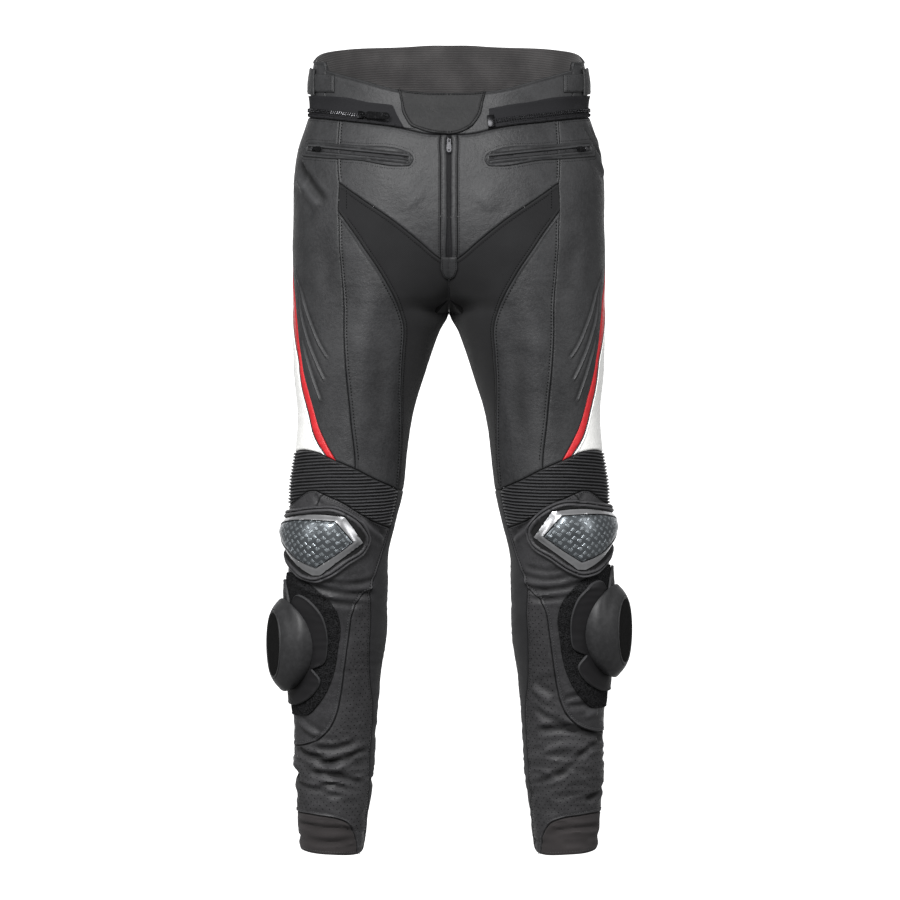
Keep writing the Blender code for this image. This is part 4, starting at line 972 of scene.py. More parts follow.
def strung(name, segments, rings):
    """A tree that strings rounded beads along paths, each laid along its path."""
    tree = Growth(name, [(size, "Float") for size in ("Pitch", "Length", "Width", "Height")]
                  + [("Finish", "Material")])
    curve = tree.node("GeometryNodeMeshToCurve", {}, {"Mesh": tree.given("Geometry")})
    even = tree.node("GeometryNodeResampleCurve", {"mode": "LENGTH"},
                     {"Curve": curve, "Length": tree.given("Pitch")})
    first = tree.node("FunctionNodeAlignRotationToVector", {"axis": "X"},
                      {"Vector": tree.node("GeometryNodeInputTangent")})
    turned = tree.node("FunctionNodeAlignRotationToVector", {"axis": "Z", "pivot_axis": "X"},
                       {"Rotation": first, "Vector": tree.outwards()})
    size = tree.node("ShaderNodeCombineXYZ", {}, {"X": tree.given("Length"),
                                                  "Y": tree.given("Width"),
                                                  "Z": tree.given("Height")})
    bead = tree.node("GeometryNodeMeshUVSphere", {}, {"Segments": segments, "Rings": rings,
                                                      "Radius": 0.5})
    sized = tree.node("GeometryNodeTransform", {}, {"Geometry": bead, "Scale": size})
    return tree.spread(even, sized, turned)


def mottled(name, scale, dark, light, detail=2, span=None, wear=None, **settings):
    """A finish that varies finely between two tones, and in gloss if it is worn."""
    look = Finish(name, **settings)
    tone = look.noise(scale, detail)
    if wear:
        look.finish(Roughness=tone * 0.2 + wear)
    return look.finish(Base_Color=look.blend(tone.between(*span) if span else tone, dark, light))


stitches = strung("stitches", 5, 3)
thread = mottled("thread", 260, (0.0015, 0.0015, 0.0015), (0.007, 0.007, 0.0075), span=(0.4, 0.7),
                 Roughness=0.9, Specular_IOR_Level=0.08)


def beside(side, line, offset, low=None, high=None, axis=1):
    """A row of places beside a line, between two heights (axis 1) or turns (axis 0)."""
    places = np.array(LINES[side][line] if isinstance(line, str) else line)
    if low is not None:
        places = places[(places[:, axis] >= low) & (places[:, axis] <= high)]
    flat = laid_flat(places)
    way = np.gradient(flat, axis=0)
    way /= np.maximum(np.linalg.norm(way, axis=1, keepdims=True), 1e-6)
    row = flat + np.stack([-way[:, 1], way[:, 0]], -1) * offset
    kept = [0]
    for k in range(1, len(row)):
        if np.dot(row[k] - row[kept[-1]], way[k]) > 0.8:
            kept.append(k)
    return taken_up(row[kept])


def seeded(name, points, normals, edges=()):
    """A mesh of points or paths that know which way is out."""
    mesh = bpy.data.meshes.new(name)
    mesh.from_pydata([tuple(p) for p in np.array(points) * MM], list(edges), [])
    mesh.attributes.new("out", "FLOAT_VECTOR", "POINT").data.foreach_set(
        "vector", np.array(normals).ravel())
    return mesh


def string(tree, name, rows, look, slot, pitch, length, width, height):
    """Beads along rows on the surface, each row (side, places, height)."""
    vertices, edges, outs = [], [], []
    for side, places, raised in rows:
        if len(places) < 2:
            continue
        points, normals = lifted(side, places, raised)
        edges += [(len(vertices) + k, len(vertices) + k + 1) for k in range(len(points) - 1)]
        vertices += list(points)
        outs += list(normals)
    made = tree.on(name, seeded(name, vertices, outs, edges), Pitch=pitch * MM, Length=length * MM,
                   Width=width * MM, Height=height * MM, Finish=look.material)


def stitch(name, rows, slot="black_leather", pitch=4.0, length=2.3, thick=1.4, look=thread):
    string(stitches, name, rows, look, slot, pitch, length, thick, thick)


def both(raised, line, offset, *limits):
    """A row beside a line of each leg, raised over the surface."""
    return [(side, beside(side, line, offset, *limits), raised) for side in "RL"]


stitch("hip_and_thigh_stitches",
       both(0.4, "hip_seam", -4.2, -98, -20) + both(0.4, "hip_seam", -4.2, -450, -150)
       + both(0.4, "gusset_front", 4.2, -484, -224) + both(0.4, "yoke_seam", -4.2)
       + both(0, "side_seam", 3.2, -228, -12))

# --------------------------------------------------- side panels and stripes
# White cowhide on the outer side of each thigh, framed in front by a narrow red strip
# with a dark cord between the two. Both are lapped under the side of the thigh.

white_leather = leather("white leather", (0.84, 0.84, 0.82), (0.94, 0.94, 0.92), 0.42, 0.8, 0.6)
red_leather = leather("red leather", (0.42, 0.012, 0.017), (0.60, 0.022, 0.028), 0.40, 0.8, 0.6)
piping_cloth = mottled("piping cord", 700, (0.01, 0.01, 0.011), (0.05, 0.05, 0.055), Roughness=0.7)
for side in "RL":
    sewn(red_leather, "red_leather", f"red_stripe_{side}", [(1.95, -240)],
         ("side_seam", "stripe_front", "stripe_back", "ribs_top"), pitch=3.2, beside=(0.8, 2.0))
    sewn(white_leather, "white_leather", f"side_panel_{side}", [(2.1, -400)],
         ("side_seam", "stripe_back", "ribs_top"), pitch=4.0, stitched=("stripe_back",))


def closed_mesh(name, vertices, faces):
    """A mesh of points in millimetres, with its faces turned outwards."""
    mesh = bpy.data.meshes.new(name)
    mesh.from_pydata([tuple(point) for point in np.array(vertices) * MM], [], faces)
    work = bmesh.new()
    work.from_mesh(mesh)
    bmesh.ops.recalc_face_normals(work, faces=work.faces)
    work.to_mesh(mesh)
    work.free()
    return mesh


def tube(name, rows, radius, look):
    """A round cord along each row of (side, places, height)."""
    vertices, faces, corners = [], [], 8
    for side, places, height in rows:
        points, normals = lifted(side, places, height)
        way = np.gradient(points, axis=0)
        way /= np.linalg.norm(way, axis=1, keepdims=True)
        across = np.cross(normals, way)
        first = len(vertices)
        for point, side_way, out in zip(points, across, normals):
            for turn in np.arange(corners) * 2 * pi / corners:
                vertices.append(point + radius * (side_way * cos(turn) + out * sin(turn)))
        for k in range(len(points) - 1):
            for j in range(corners):
                a, b = first + k * corners + j, first + k * corners + (j + 1) % corners
                faces.append((a, b, b + corners, a + corners))
        faces.append(tuple(first + j for j in reversed(range(corners))))
        faces.append(tuple(first + (len(points) - 1) * corners + j for j in range(corners)))
    made = smooth_object(name, closed_mesh(name, vertices, faces))
    made.data.materials.append(look.material)
    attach(made, "trousers")


tube("stripe_piping", both(-0.35, "stripe_back", 0.0), 0.75, piping_cloth)
stitch("side_panel_stitches", both(-0.15, "stripe_back", 3.0, -436, -246), "white_leather",
       look=mottled("pale thread", 700, (0.53, 0.53, 0.51), (0.57, 0.57, 0.55), Roughness=0.5))

# ------------------------------------------------------------- stretch gusset
# Matt woven stretch cloth from the hips down through the crotch, for room when riding.
# Each edge is turned and sewn with a row of short stitches.


def stretch_cloth(name, dark, light, pitch):
    look = Finish(name, Roughness=0.9, Sheen_Weight=0.06, Sheen_Roughness=0.5,
                  Specular_IOR_Level=0.18)
    twill = look.bands("DIAGONAL", 0.31 / (pitch * MM), Distortion=0.4, Detail=1)
    ribs = look.bands("X", 0.31 / (pitch * MM))
    fuzz = look.noise(1600, 2)
    patches = look.noise(17, 3)
    share = (twill * 0.35 + fuzz * 0.3 + patches * 0.4).between(0.25, 0.85)
    edge, painted_shading = look.read("edge"), look.read("painted_shading")
    # Painted shade in folds and grooves, painted highlight on ridges.
    colour = look.blend(painted_shading.between(-0.8, 0.8, 0.4, -0.4) + share, dark, light)
    # Painted shade along the seams.
    colour = look.blend(edge.between(0, 1.2, 0.85, 0.0), colour, (0.003, 0.003, 0.003))
    return look.finish(Base_Color=colour,
                       Normal=look.bump(twill * 0.6 + ribs * 0.2 + fuzz * 0.5, 0.22, 0.7))


gusset_cloth = stretch_cloth("stretch gusset cloth", (0.008, 0.008, 0.0085),
                             (0.018, 0.018, 0.019), 1.1)
for side in "RL":
    sewn(gusset_cloth, "stretch_cloth", f"stretch_gusset_{side}", [(0.5, -230), (3.8, -330)],
         ("gusset_top", "gusset_front", "gusset_back", "gusset_hem_front", "gusset_hem_back",
          "centre_front", "centre_back", "hip_seam"),
         pitch=4.4, lip=1.3, roll=3.0, stitched=("gusset_top", "gusset_front"), top=-0.5, gap=0.1)
stitch("gusset_stitches",
       both(-0.3, "gusset_top", -4.6, 0.08, 1.30, 0) + both(-0.3, "gusset_front", -4.6, -480, -150)
       + both(-0.1, "centre_front", 2.6, -258, -226)
       + [(side, [(1.325, -106), (1.325, -120), (1.32, -134)], 0.0) for side in "RL"],
       "stretch_cloth", pitch=3.2, length=1.9, thick=1.0)
tube("seam_binding", [(side, [(turn, z) for z in np.linspace(low, high, 9)], -1.6)
                      for side in "RL" for turn, low, high in ((0.0, CROTCH + 2, -222),
                                                              (4.0, CROTCH + 2, -190))],
     1.0, piping_cloth)

# ------------------------------------------------------------------ the fly
# Two narrow leather strips with a short metal zip sunk between them, from the waistband
# down to a rounded tab of doubled leather that takes the strain at its foot.


def zip_tape_finish(name, dark, pale):
    look = Finish(name, Roughness=0.8, Specular_IOR_Level=0.15)
    weave = look.bands("Y", 420)
    fuzz = look.noise(1500, 2)
    return look.finish(Base_Color=look.blend((weave * 0.6 + fuzz * 0.4).between(0.2, 0.9),
                                             dark, pale),
                       Normal=look.bump(weave + fuzz * 0.5, 0.2, 0.6))


zip_tape = zip_tape_finish("zip tape", (0.007, 0.007, 0.008), (0.021, 0.021, 0.023))
# The pockets' tape is painted lighter than the other zip tape: painted light, standing in for the
# lit leather lips over the zip.
pocket_tape_painted_lighter = zip_tape_finish("pocket zip tape", (0.020, 0.020, 0.021), (0.040, 0.040, 0.042))
black_metal = mottled("blackened metal", 420, (0.011, 0.011, 0.012), (0.05, 0.05, 0.053), 3,
                      (0.55, 0.8), 0.16, Metallic=0.85)
bright_metal = mottled("bright teeth", 260, (0.12, 0.12, 0.125), (0.42, 0.42, 0.44), 2,
                       (0.4, 0.7), 0.2, Metallic=1.0)

# The fly's plackets get a slight painted highlight all over.
for side in "RL":
    leather_panel(f"fly_placket_{side}", [(0.11, -120)],
                  ("waist_seam", "fly_zip_edge", "fly_strip_edge", "gusset_top"),
                  pitch=2.6, beside=(0.8,), lip=0.9, roll=1.8,
                  top=lambda facts: (0.5 * np.clip(facts.edge / 2, 0, 1), -0.1))
sewn(zip_tape, "black_zip", "fly_zip", [(0.02, -120)],
     ("waist_seam", "fly_zip_edge", "gusset_top", "centre_front"), sides="RL",
     top=-2.2, under=-2.6, pitch=2.4, beside=(), lip=0.0)
stitch("fly_stitches", both(0.1, "fly_strip_edge", -1.9, -196, -46)
       + both(0.1, "fly_strip_edge", 2.6, -196, -46), pitch=3.3, length=2.1, thick=0.9)


def metal_piece(name, place, look, bevel, *prisms):
    """A small hard piece of prisms, each an outline and how far it is drawn out."""
    vertices, faces = [], []
    for ring, draw in prisms:
        near = list(range(len(vertices), len(vertices) + len(ring)))
        far = [corner + len(ring) for corner in near]
        vertices += [*ring, *(np.array(ring) + draw)]
        faces += [near, far, *zip(near, near[1:] + near[:1], far[1:] + far[:1], far)]
    made = bpy.data.objects.new(name, closed_mesh(name, vertices, faces))
    scene.collection.objects.link(made)
    round_off = made.modifiers.new("round", "BEVEL")
    round_off.width, round_off.segments, round_off.limit_method = bevel * MM, 2, "ANGLE"
    round_off.angle_limit = radians(40)
    plain = bpy.data.meshes.new_from_object(
        made.evaluated_get(bpy.context.evaluated_depsgraph_get()))
    made.modifiers.clear()
    made.data = plain
    plain.name = name
    plain.transform(place)
    plain.polygons.foreach_set("use_smooth", [True] * len(plain.polygons))
    plain.set_sharp_from_angle(angle=radians(35))
    plain.materials.clear()
    plain.materials.append(look.material)
    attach(made, "trousers")


def on_net(side, place, towards):
    """Axes at a place: along the surface to another place, across, and out."""
    flat = form(np.array([place[0], towards[0]]), np.array([place[1], towards[1]]))
    hand = np.array((1 if side == "L" else -1, 1, 1))
    start, end = flat * hand
    out = form_normal(np.array([place[0]]), np.array([place[1]]))[0] * hand
    if place[0] == 0:
        out[0] = 0
        out /= np.linalg.norm(out)
    along = end - start
    along -= out * np.dot(along, out)
    along /= np.linalg.norm(along)
    axes = Matrix(np.stack([along, np.cross(out, along), out], 1).tolist()).to_4x4()
    return Matrix.Translation(Vector(start * MM)) @ axes


def on_joint(pull, top):
    """Axes under the arch that a pull swings in: along the pull, across, and out."""
    joint = next(j for j in frame["joints"] if j["name"] == pull + "_swing")
    pivot, axis = Vector(joint["pos_m"]), Vector(joint["axis"])
    corners = [vertex.co for vertex in frame["nodes"][pull].data.vertices]
    along = sum(corners, Vector()) / len(corners) - pivot
    along = (along - axis * along.dot(axis)).normalized()
    out = along.cross(axis)
    if out.y > 0:
        out, axis = -out, -axis
    axes = Matrix((along, out.cross(along), out)).transposed().to_4x4()
    return Matrix.Translation(pivot - out * (top + 1.0) * MM) @ axes


def zip_slider(name, place, length, width, sole, top, look=black_metal):
    """A zip's slider: a body with waisted sides, and the arch that holds its pull."""
    half, wide = length / 2, width / 2
    flank = [(-half, wide), (-half * 0.2, wide), (half * 0.35, wide * 0.72), (half, wide * 0.66)]
    body = [(x, -y, sole) for x, y in flank] + [(x, y, sole) for x, y in reversed(flank)]
    reach, bar, room, thick = 2.65, 0.9, 2.0, 1.4
    leg = [(reach, top - 0.2), (reach - bar, top - 0.2), (reach - bar, top + room)]
    arch = [(-reach, top + room + bar), (reach, top + room + bar), *leg,
            *((-x, z) for x, z in reversed(leg))]
    metal_piece(name, place, look, 0.3, (body, (0, 0, top - sole)),
                ([(x, -thick / 2, z) for x, z in arch], (0, thick, 0)))


zip_slider("fly_slider", on_joint("fly_pull", 2.4), 8.5, 4.2, -0.9, 2.4)

teeth = strung("zip teeth", 6, 4)


def zip_teeth(name, rows, look, *sizes):
    string(teeth, name, rows, look, "black_zip", *sizes)


zip_teeth("fly_zip_teeth",
          [(side, [(from_middle(0.75, z), z - late) for z in range(-196, -56, 10)], -2.2)
           for side, late in (("R", 0), ("L", 0.9))],
          mottled("dark teeth", 500, (0.018, 0.018, 0.018), (0.022, 0.022, 0.022), Metallic=0.6,
                  Roughness=0.5),
          1.9, 1.2, 1.7, 0.8)

for lines in LINES.values():
    lines["end_tab"] = drawn([(0, -223.5), (0.09, -220), (0.145, -211), (0.145, -211), (0.14, -196),
                              (0.14, -196), (0, -196)], step=1.6)
leather_panel("fly_end_tab", [(0.05, -208)], ("end_tab", "centre_front"), sides="RL",
              top=1.9, under=GAP, pitch=1.7, beside=(0.6,), lip=1.0, roll=1.6, hollow=8)
stitch("end_tab_stitches",
       [(side, row[:-6], raised) for side, row, raised in both(1.95, "end_tab", 2.0)],
       pitch=2.6, length=1.9, thick=0.8)

# -------------------------------------------------------------- the waistband
# Doubled leather with rolled edges: low in front under a shaped closure tab, high behind,
# where a ribbed woven lining shows inside. A strap through a loop on each side draws
# the waist in.

for side in "RL":
    leather_panel(f"waistband_front_{side}", [(1.2, -5)],
                  ("waist_seam", "band_end", "top", "centre_front"), stitched=("top",), pitch=2.8,
                  under=-2.6, lip=1.2, roll=1.8)
leather_panel("waistband_back", [(3, 50)], ("waist_seam", "band_end", "top", "centre_back"),
              stitched=("top",), sides="RL", pitch=3.6, under=-2.6, lip=1.2, roll=1.8)

lining = Finish("ribbed lining", Roughness=0.88, Sheen_Weight=0.15, Specular_IOR_Level=0.3)
lining_ribs = lining.bands("Z", 140, lining.at(), Distortion=1.6, Detail=2)
lining_patches = lining.noise(30, 3)
lining_fuzz = lining.noise(1400, 2)
lining.finish(Base_Color=lining.blend((lining_ribs * 0.3 + lining_patches * 0.8).between(0.3, 0.85),
                                      (0.024, 0.0225, 0.0228), (0.056, 0.053, 0.053)),
              Normal=lining.bump(lining_ribs + lining_fuzz * 0.3, 0.4, 0.8))
sewn(lining, "ribbed_lining", "waist_lining", [(3, 50)],
     ("waist_seam", "band_end", "top", "centre_back"),
     sides="RL", top=-2.9, under=-3.9, pitch=5, beside=(1.5,), lip=0.0)

LINK_TOP = [(1.1, -6), (1.25, -1), (1.4, 6), (1.6, 11), (2, 18), (3, 32), (4, 36)]
WAIST_LINES = {
    "R": {"tab_side": [(1.07, "top"), (1.045, -8), (1.01, -23), (0.93, -31), (0.69, -37),
                       (0.35, -41.6), (0, -43)],
          "link_top": LINK_TOP,
          "link_end": [(1.1, -6), (1.01, "waist_seam")]},
    "L": {"tab_side": [(0.93, "top"), (0.86, -2), (0.64, -27), (0.56, -32), (0.42, -37),
                       (0.2, -41.6), (0, -43)],
          "link_top": [(0.98, -10)] + LINK_TOP,
          "link_end": [(0.98, -10), (0.92, "waist_seam")]},
}
for side, wanted in WAIST_LINES.items():
    for name, points in wanted.items():
        LINES[side][name] = drawn(on_lines(LINES[side], points), step=2.2)


def tab_form(facts):
    """Doubled leather with a sewn border, painted shade in the border's channel and painted
    highlight at its edge.
    """
    border = np.exp(-((facts.edge - 2.6) / 0.8) ** 2)
    brim = np.exp(-((facts.edge - 1.0) / 0.8) ** 2)
    return 3.0 - 0.5 * border, 0.7 * border - 0.9 * brim


tab_leather = leather("pressed leather", (0.0065, 0.0066, 0.007), (0.013, 0.0132, 0.0138), 0.6)
sewn(tab_leather, "black_leather", "closure_tab", [(0.2, -10)], ("tab_side", "top", "centre_front"),
     sides="RL", top=tab_form, under=GAP, pitch=2.4, beside=(0.7, 1.6, 2.6, 3.6), lip=1.8, roll=2.0)
rows = both(-0.1, "top", -3.0, 1.70, 4.0, 0) + both(3.0, "tab_side", -2.6)
for side, tab_end, band_start, offset in (("R", 1.02, 1.12, -3.0), ("L", 0.88, 0.97, 3.0)):
    rows += [(side, beside(side, "top", -3.0, band_start, 1.6, 0), -0.1),
             (side, beside(side, "band_end", offset), -0.1),
             (side, beside(side, "top", -2.6, 0.0, tab_end, 0), 3.0)]
stitch("waistband_stitches", rows, pitch=3.2, length=2.1, thick=0.85)


def outline(name, points, rise=None, step=2.0):
    """A closed line on both legs, which may sit higher on one than on the other."""
    for side, lines in LINES.items():
        lift = (rise or {}).get(side, 0)
        lines[name] = drawn([(float(turn), z + lift) for turn, z in points], closed=True, step=step)


outline("adjuster_strap", [(1.53, 14.5), (1.53, 14.5), (1.53, 37), (1.53, 37), (2, 46.5),
                           (2.5, 54), (2.5, 54), (2.5, 31), (2.5, 31), (2, 22.5), (1.53, 14.5)])
outline("adjuster_loop", [(1.76, 14.5), (1.76, 14.5), (1.78, 48), (1.78, 48), (1.98, 54),
                          (1.98, 54), (1.98, 20), (1.98, 20), (1.76, 14.5)])
for side in "RL":
    leather_panel(f"adjuster_strap_{side}", [(2.2, 38)], ("adjuster_strap",), top=2.1,
                  under=GAP, pitch=2.2, beside=(0.7,), lip=1.2, roll=1.6, hollow=12)
    leather_panel(f"adjuster_loop_{side}", [(1.87, 36)], ("adjuster_loop",), top=4.2,
                  under=2.4, pitch=2.0, beside=(0.7,), lip=1.0, roll=1.4, hollow=12)
stitch("adjuster_stitches", [(side, row, raised) for side in "RL" for raised, row in (
    (2.1, [(1.56, 18), (1.56, 35)]), (2.1, [(1.58, 17.5), (1.74, 20)]),
    (2.1, [(1.58, 35.5), (1.74, 39)]), (2.1, [(2.02, 26), (2.46, 34)]),
    (2.1, [(2.02, 44), (2.46, 50.5)]), (4.2, [(1.79, 19), (1.80, 46)]),
    (4.2, [(1.95, 23), (1.95, 50)]))], pitch=2.8, length=2.0, thick=0.75)

# ---------------------------------------------------------------- linking zip
# A strong zip all round the waist seam, which joins the trousers to a jacket. Its free
# half waves over the waistband. The slider is parked at the right end, the pin's box is
# at the left end.

for side, start in (("R", 1.24), ("L", 0.99)):
    lines = LINES[side]
    for name, rise in (("chain_low", 5.5), ("chain_high", 11.5)):
        places = np.array([p for p in lines["waist_seam"] if p[0] >= start])
        lines[name] = [tuple(p) for p in places + (0, rise)]
    lines["chain_end"] = [lines["chain_low"][0], lines["chain_high"][0]]


def tape_form(facts):
    """The free edge waves and lifts a little."""
    turn, z = facts.places.T
    free = np.array(facts.lines["link_top"])
    drop = np.interp(turn, free[:, 0], free[:, 1]) - z
    wave = 0.5 + 0.5 * np.sin(turn * 17 + (1.2 if facts.side == "R" else 0.2))
    lift = (0.5 + 2.4 * wave) * np.exp(-drop / 7.0)
    low = np.array(facts.lines["waist_seam"])
    seat = z - np.interp(turn, low[:, 0], low[:, 1])
    welt = np.exp(-((seat - 2.2) / 1.6) ** 2)
    return 1.2 + lift * (turn < 3.9) + 1.9 * welt, 0.6 - 1.2 * welt


sewn(zip_tape, "black_zip", "link_zip_tape", [(2, 3), (3, 15)],
     ("link_top", "link_end", "waist_seam", "centre_back"),
     sides="RL", top=tape_form, under=GAP, pitch=2.8, beside=(0.8,), lip=0.5, roll=1.0)
sewn(zip_tape, "black_zip", "link_zip_chain", [(2, -0.5)],
     ("chain_low", "chain_high", "chain_end", "centre_back"),
     sides="RL", top=2.6, under=1.8, pitch=2.6, beside=(), lip=0.3, roll=1.0, hollow=14)
GLINT_TURNS = (1.30, 1.53)      # the turns on the right side where the teeth are bright metal: a painted glint
for name, look, parts in (
        ("link_zip_teeth", black_metal, [("R", 0, GLINT_TURNS[0]), ("R", GLINT_TURNS[1], 4), ("L", 0, 4)]),
        ("link_zip_glints", bright_metal, [("R", *GLINT_TURNS)])):
    rows = []
    for side, start, end in parts:
        low, high = (np.array(LINES[side][line]) for line in ("chain_low", "chain_high"))
        for share, shift in ((0.3, 0.0), (0.7, 0.013)):
            row = low * (1 - share) + high * share + (shift, 0)
            rows.append((side, row[(row[:, 0] >= start) & (row[:, 0] <= end)], 3.0))
    zip_teeth(name, rows, look, 3.3, 1.5, 3.6, 1.9)
zip_slider("link_slider", on_joint("link_zip_pull", 6.2), 13, 9.5, 2.9, 6.2)
metal_piece("link_zip_box", on_net("L", (1.0, -27), (1.1, -25)), black_metal, 0.7,
            ([(-4.5, -8, 2.1), (4.5, -8, 2.1), (4.5, 8, 2.1), (-4.5, 8, 2.1)], (0, 0, 3.1)))
stitch("link_zip_stitches", both(2.6, "waist_seam", 3.4, 1.12, 4.0, 0)
       + both(-0.1, "waist_seam", -3.2, 0.1, 4.0, 0), pitch=3.2, length=2.2, thick=0.85)

# -------------------------------------------------------------------- pockets
# A slanted pocket on each hip. Two narrow leather lips, sewn down all round, close over
# a fine zip, and the slider with its pull is parked at the outer end.

outline("pocket_welt", [(1.73, -45), (1.73, -45), (1.49, -50.5), (1.31, -55), (1.01, -62.6),
                        (0.85, -67.5), (0.79, -75.5), (0.86, -82.5), (1.01, -83.5),
                        (1.26, -75.5), (1.47, -71), (1.75, -64), (1.75, -64), (1.73, -45)])
outline("pocket_slot", [(1.69, -53.1), (1.69, -53.1), (1.6, -55.4), (1.3, -63.5), (0.92, -71.9),
                        (0.92, -71.9), (0.92, -75.7), (0.92, -75.7), (1.3, -67.3),
                        (1.6, -59.2), (1.69, -56.9), (1.69, -56.9), (1.69, -53.1)])


def welt_form(facts):
    """Two lips with a sewn channel along each and a plain border round them; painted shade in
    the channels and painted highlight on the lips and the border.
    """
    slot, rim = far_from(facts, "pocket_slot"), far_from(facts, "pocket_welt")
    lip, channel = np.exp(-((slot - 1.9) / 1.5) ** 2), np.exp(-((slot - 4.3) / 0.7) ** 2)
    border = np.exp(-((rim - 1.5) / 1.0) ** 2)
    return 1.1 + 1.3 * lip - 0.6 * channel + 0.6 * border, 0.8 * channel - 0.5 * lip - 0.3 * border


for side in "RL":
    leather_panel(f"pocket_welt_{side}", [(0.85, -75)], ("pocket_welt", "pocket_slot"),
                  top=welt_form, under=GAP, pitch=1.9, beside=(0.6, 1.5, 2.6, 3.6, 4.4, 5.2),
                  lip=0.7, roll=1.1, hollow=7)
    sewn(pocket_tape_painted_lighter, "black_zip", f"pocket_zip_{side}", [(1.3, -65)], ("pocket_slot",), top=0.7,
         under=GAP, pitch=1.4, beside=(), lip=0.1, roll=1, hollow=6)
    zip_slider(f"pocket_slider_{side}", on_joint(f"pocket_pull_{side}", 4.3), 8, 4.6, 0.9, 4.3,
               bright_metal)
zip_teeth("pocket_zip_teeth", [(side, [(1.56, -58.1), (1.45, -61.1), (1.3, -65.1), (1.1, -69.5),
                                       (0.95, -72.9)], 0.75) for side in "RL"],
          black_metal, 1.5, 0.9, 2.0, 0.8)
stitch("pocket_stitches", both(-0.05, "pocket_welt", -2.9) + both(0.9, "pocket_slot", 4.4),
       pitch=3.0, length=1.8, thick=0.85)

# ------------------------------------------------------------- ribbed leather
# Stretch leather above each knee: thin leather sewn over an elastic backing in twelve
# close ribs, with a rounded crest and a deep narrow valley between each two.

RIB_PITCH, RIB_STRETCH = 4.1, 5.0


def rib_bend(turn):
    """How much higher a rib lies at a turn than in front: it droops to the outer side."""
    return np.interp(turn, (0.25, 0.5, 0.85, 1.2, 1.6, 2.0, 2.4, 2.8),
                     (4.6, 1.8, 0.0, -0.3, -2.6, -5.7, -4.5, -3.0))


def hung(places):
    places = np.asarray(places, float)
    return np.stack([places[:, 0] * TURN_WIDTH,
                     (places[:, 1] - rib_bend(places[:, 0])) * RIB_STRETCH], -1)


def taken_down(flat):
    turn = flat[:, 0] / TURN_WIDTH
    return np.stack([turn, rib_bend(turn) + flat[:, 1] / RIB_STRETCH], -1)


def rib_form(facts):
    turn, z = facts.places.T
    phase = (z - rib_bend(turn)) / RIB_PITCH
    crest = (0.5 - 0.5 * np.cos(2 * pi * phase)) ** 0.85
    fade = ease(facts.edge / 3.2)
    slack = 0.12 * np.sin(turn * 7 + np.floor(phase) * 1.7)
    # Painted shade in the valleys and painted highlight on the crests.
    return (3.3 * crest * (1 + slack) - 1.2) * fade - 0.6 * (1 - fade), 0.8 - 1.75 * crest * fade


rib_leather = leather("ribbed leather", (0.023, 0.023, 0.0242), (0.038, 0.038, 0.040), 0.42,
                      0.5, 0.1)
for side in "RL":
    sewn(rib_leather, "black_leather", f"accordion_{side}", [(1.2, -470)],
         ("ribs_top", "ribs_bottom", "ribs_back", "inner_front", "inner_back", "gusset_front"),
         top=rib_form, under=-2.9, pitch=2.96, beside=(1.5,), lip=1.2, roll=1.5,
         warp=hung, unwarp=taken_down, hollow=20)

# ------------------------------------------------------------- knees and shins
# The front of the knee and the shin in one piece of cowhide. A padded roll sewn in
# channels frames the hard knee cup, which is a moulded shell with a raised pattern in a
# bright moulded frame, riveted through the leather from behind.

FOLDS += [
    ("R", -2.2, 4.2, [(1.62, -600), (1.40, -604), (1.15, -611), (0.90, -616.5), (0.62, -619),
                      (0.36, -618)]),
    ("R", -1.8, 4.0, [(1.24, -620), (1.06, -628), (0.80, -631), (0.60, -629)]),
    ("R", -1.7, 4.0, [(1.16, -601), (0.92, -606.5), (0.60, -604), (0.40, -598)]),
    ("L", -2.2, 4.2, [(1.62, -594), (1.35, -602), (1.05, -609.5), (0.74, -613), (0.36, -609)]),
    ("L", -1.7, 4.0, [(1.22, -616), (1.0, -622.5), (0.74, -625), (0.5, -622)]),
    ("L", -1.5, 4.0, [(1.1, -596), (0.86, -600), (0.55, -597), (0.38, -592)]),
    ("L", -1.2, 4.0, [(1.0, -588), (0.74, -589), (0.46, -584)]),
    ("RL", -1.8, 3.4, [(0.66, -524), (0.46, -537), (0.30, -546)]),
    ("RL", 1.8, 3.6, [(0.78, -521), (0.52, -542), (0.33, -553)]),
    ("R", 2.2, 4.5, [(1.65, -783), (1.42, -793), (1.2, -800)]),
    ("L", -1.8, 4.0, [(0.99, -752), (1.25, -747)]),
    ("L", -1.8, 4.0, [(1.03, -761.5), (1.38, -760.5)]),
    ("L", 1.8, 5.0, [(1.3, -775), (1.6, -770)]),
    ("RL", -1.4, 3.2, [(1.35, -491), (1.3, -500), (1.2, -508)]),
]
# The black leather again in a lighter tone: painted light on the knees and shins, where less light
# reaches.
knee_leather_painted_lighter = leather("knee leather painted lighter", (0.020, 0.0197, 0.021), (0.040, 0.0394, 0.0418), 0.47)
for lines in LINES.values():
    lines["hood_seam"] = drawn([(1.24, -492.5), (1.27, -497), (1.29, -501.5), (1.30, -506)])


def knee_form(facts):
    """A dart is sewn up over the cup, with painted shade in the dart and painted highlight on
    the swell beside it.
    """
    far = far_from(facts, "hood_seam")
    dart, swell = np.exp(-(far / 0.8) ** 2), np.exp(-((far - 2.6) / 1.5) ** 2)
    return 0.5 * swell - 1.0 * dart, 1.0 * dart - 0.4 * swell


for side in "RL":
    sewn(knee_leather_painted_lighter, "black_leather", f"knee_panel_{side}", [(0.7, -560)],
         ("ribs_bottom", "inner_front", "shin_seam", "shin_back", "ribs_back", "hood_seam"),
         pitch=3.0, top=knee_form, stitched=("shin_seam", "inner_front"))

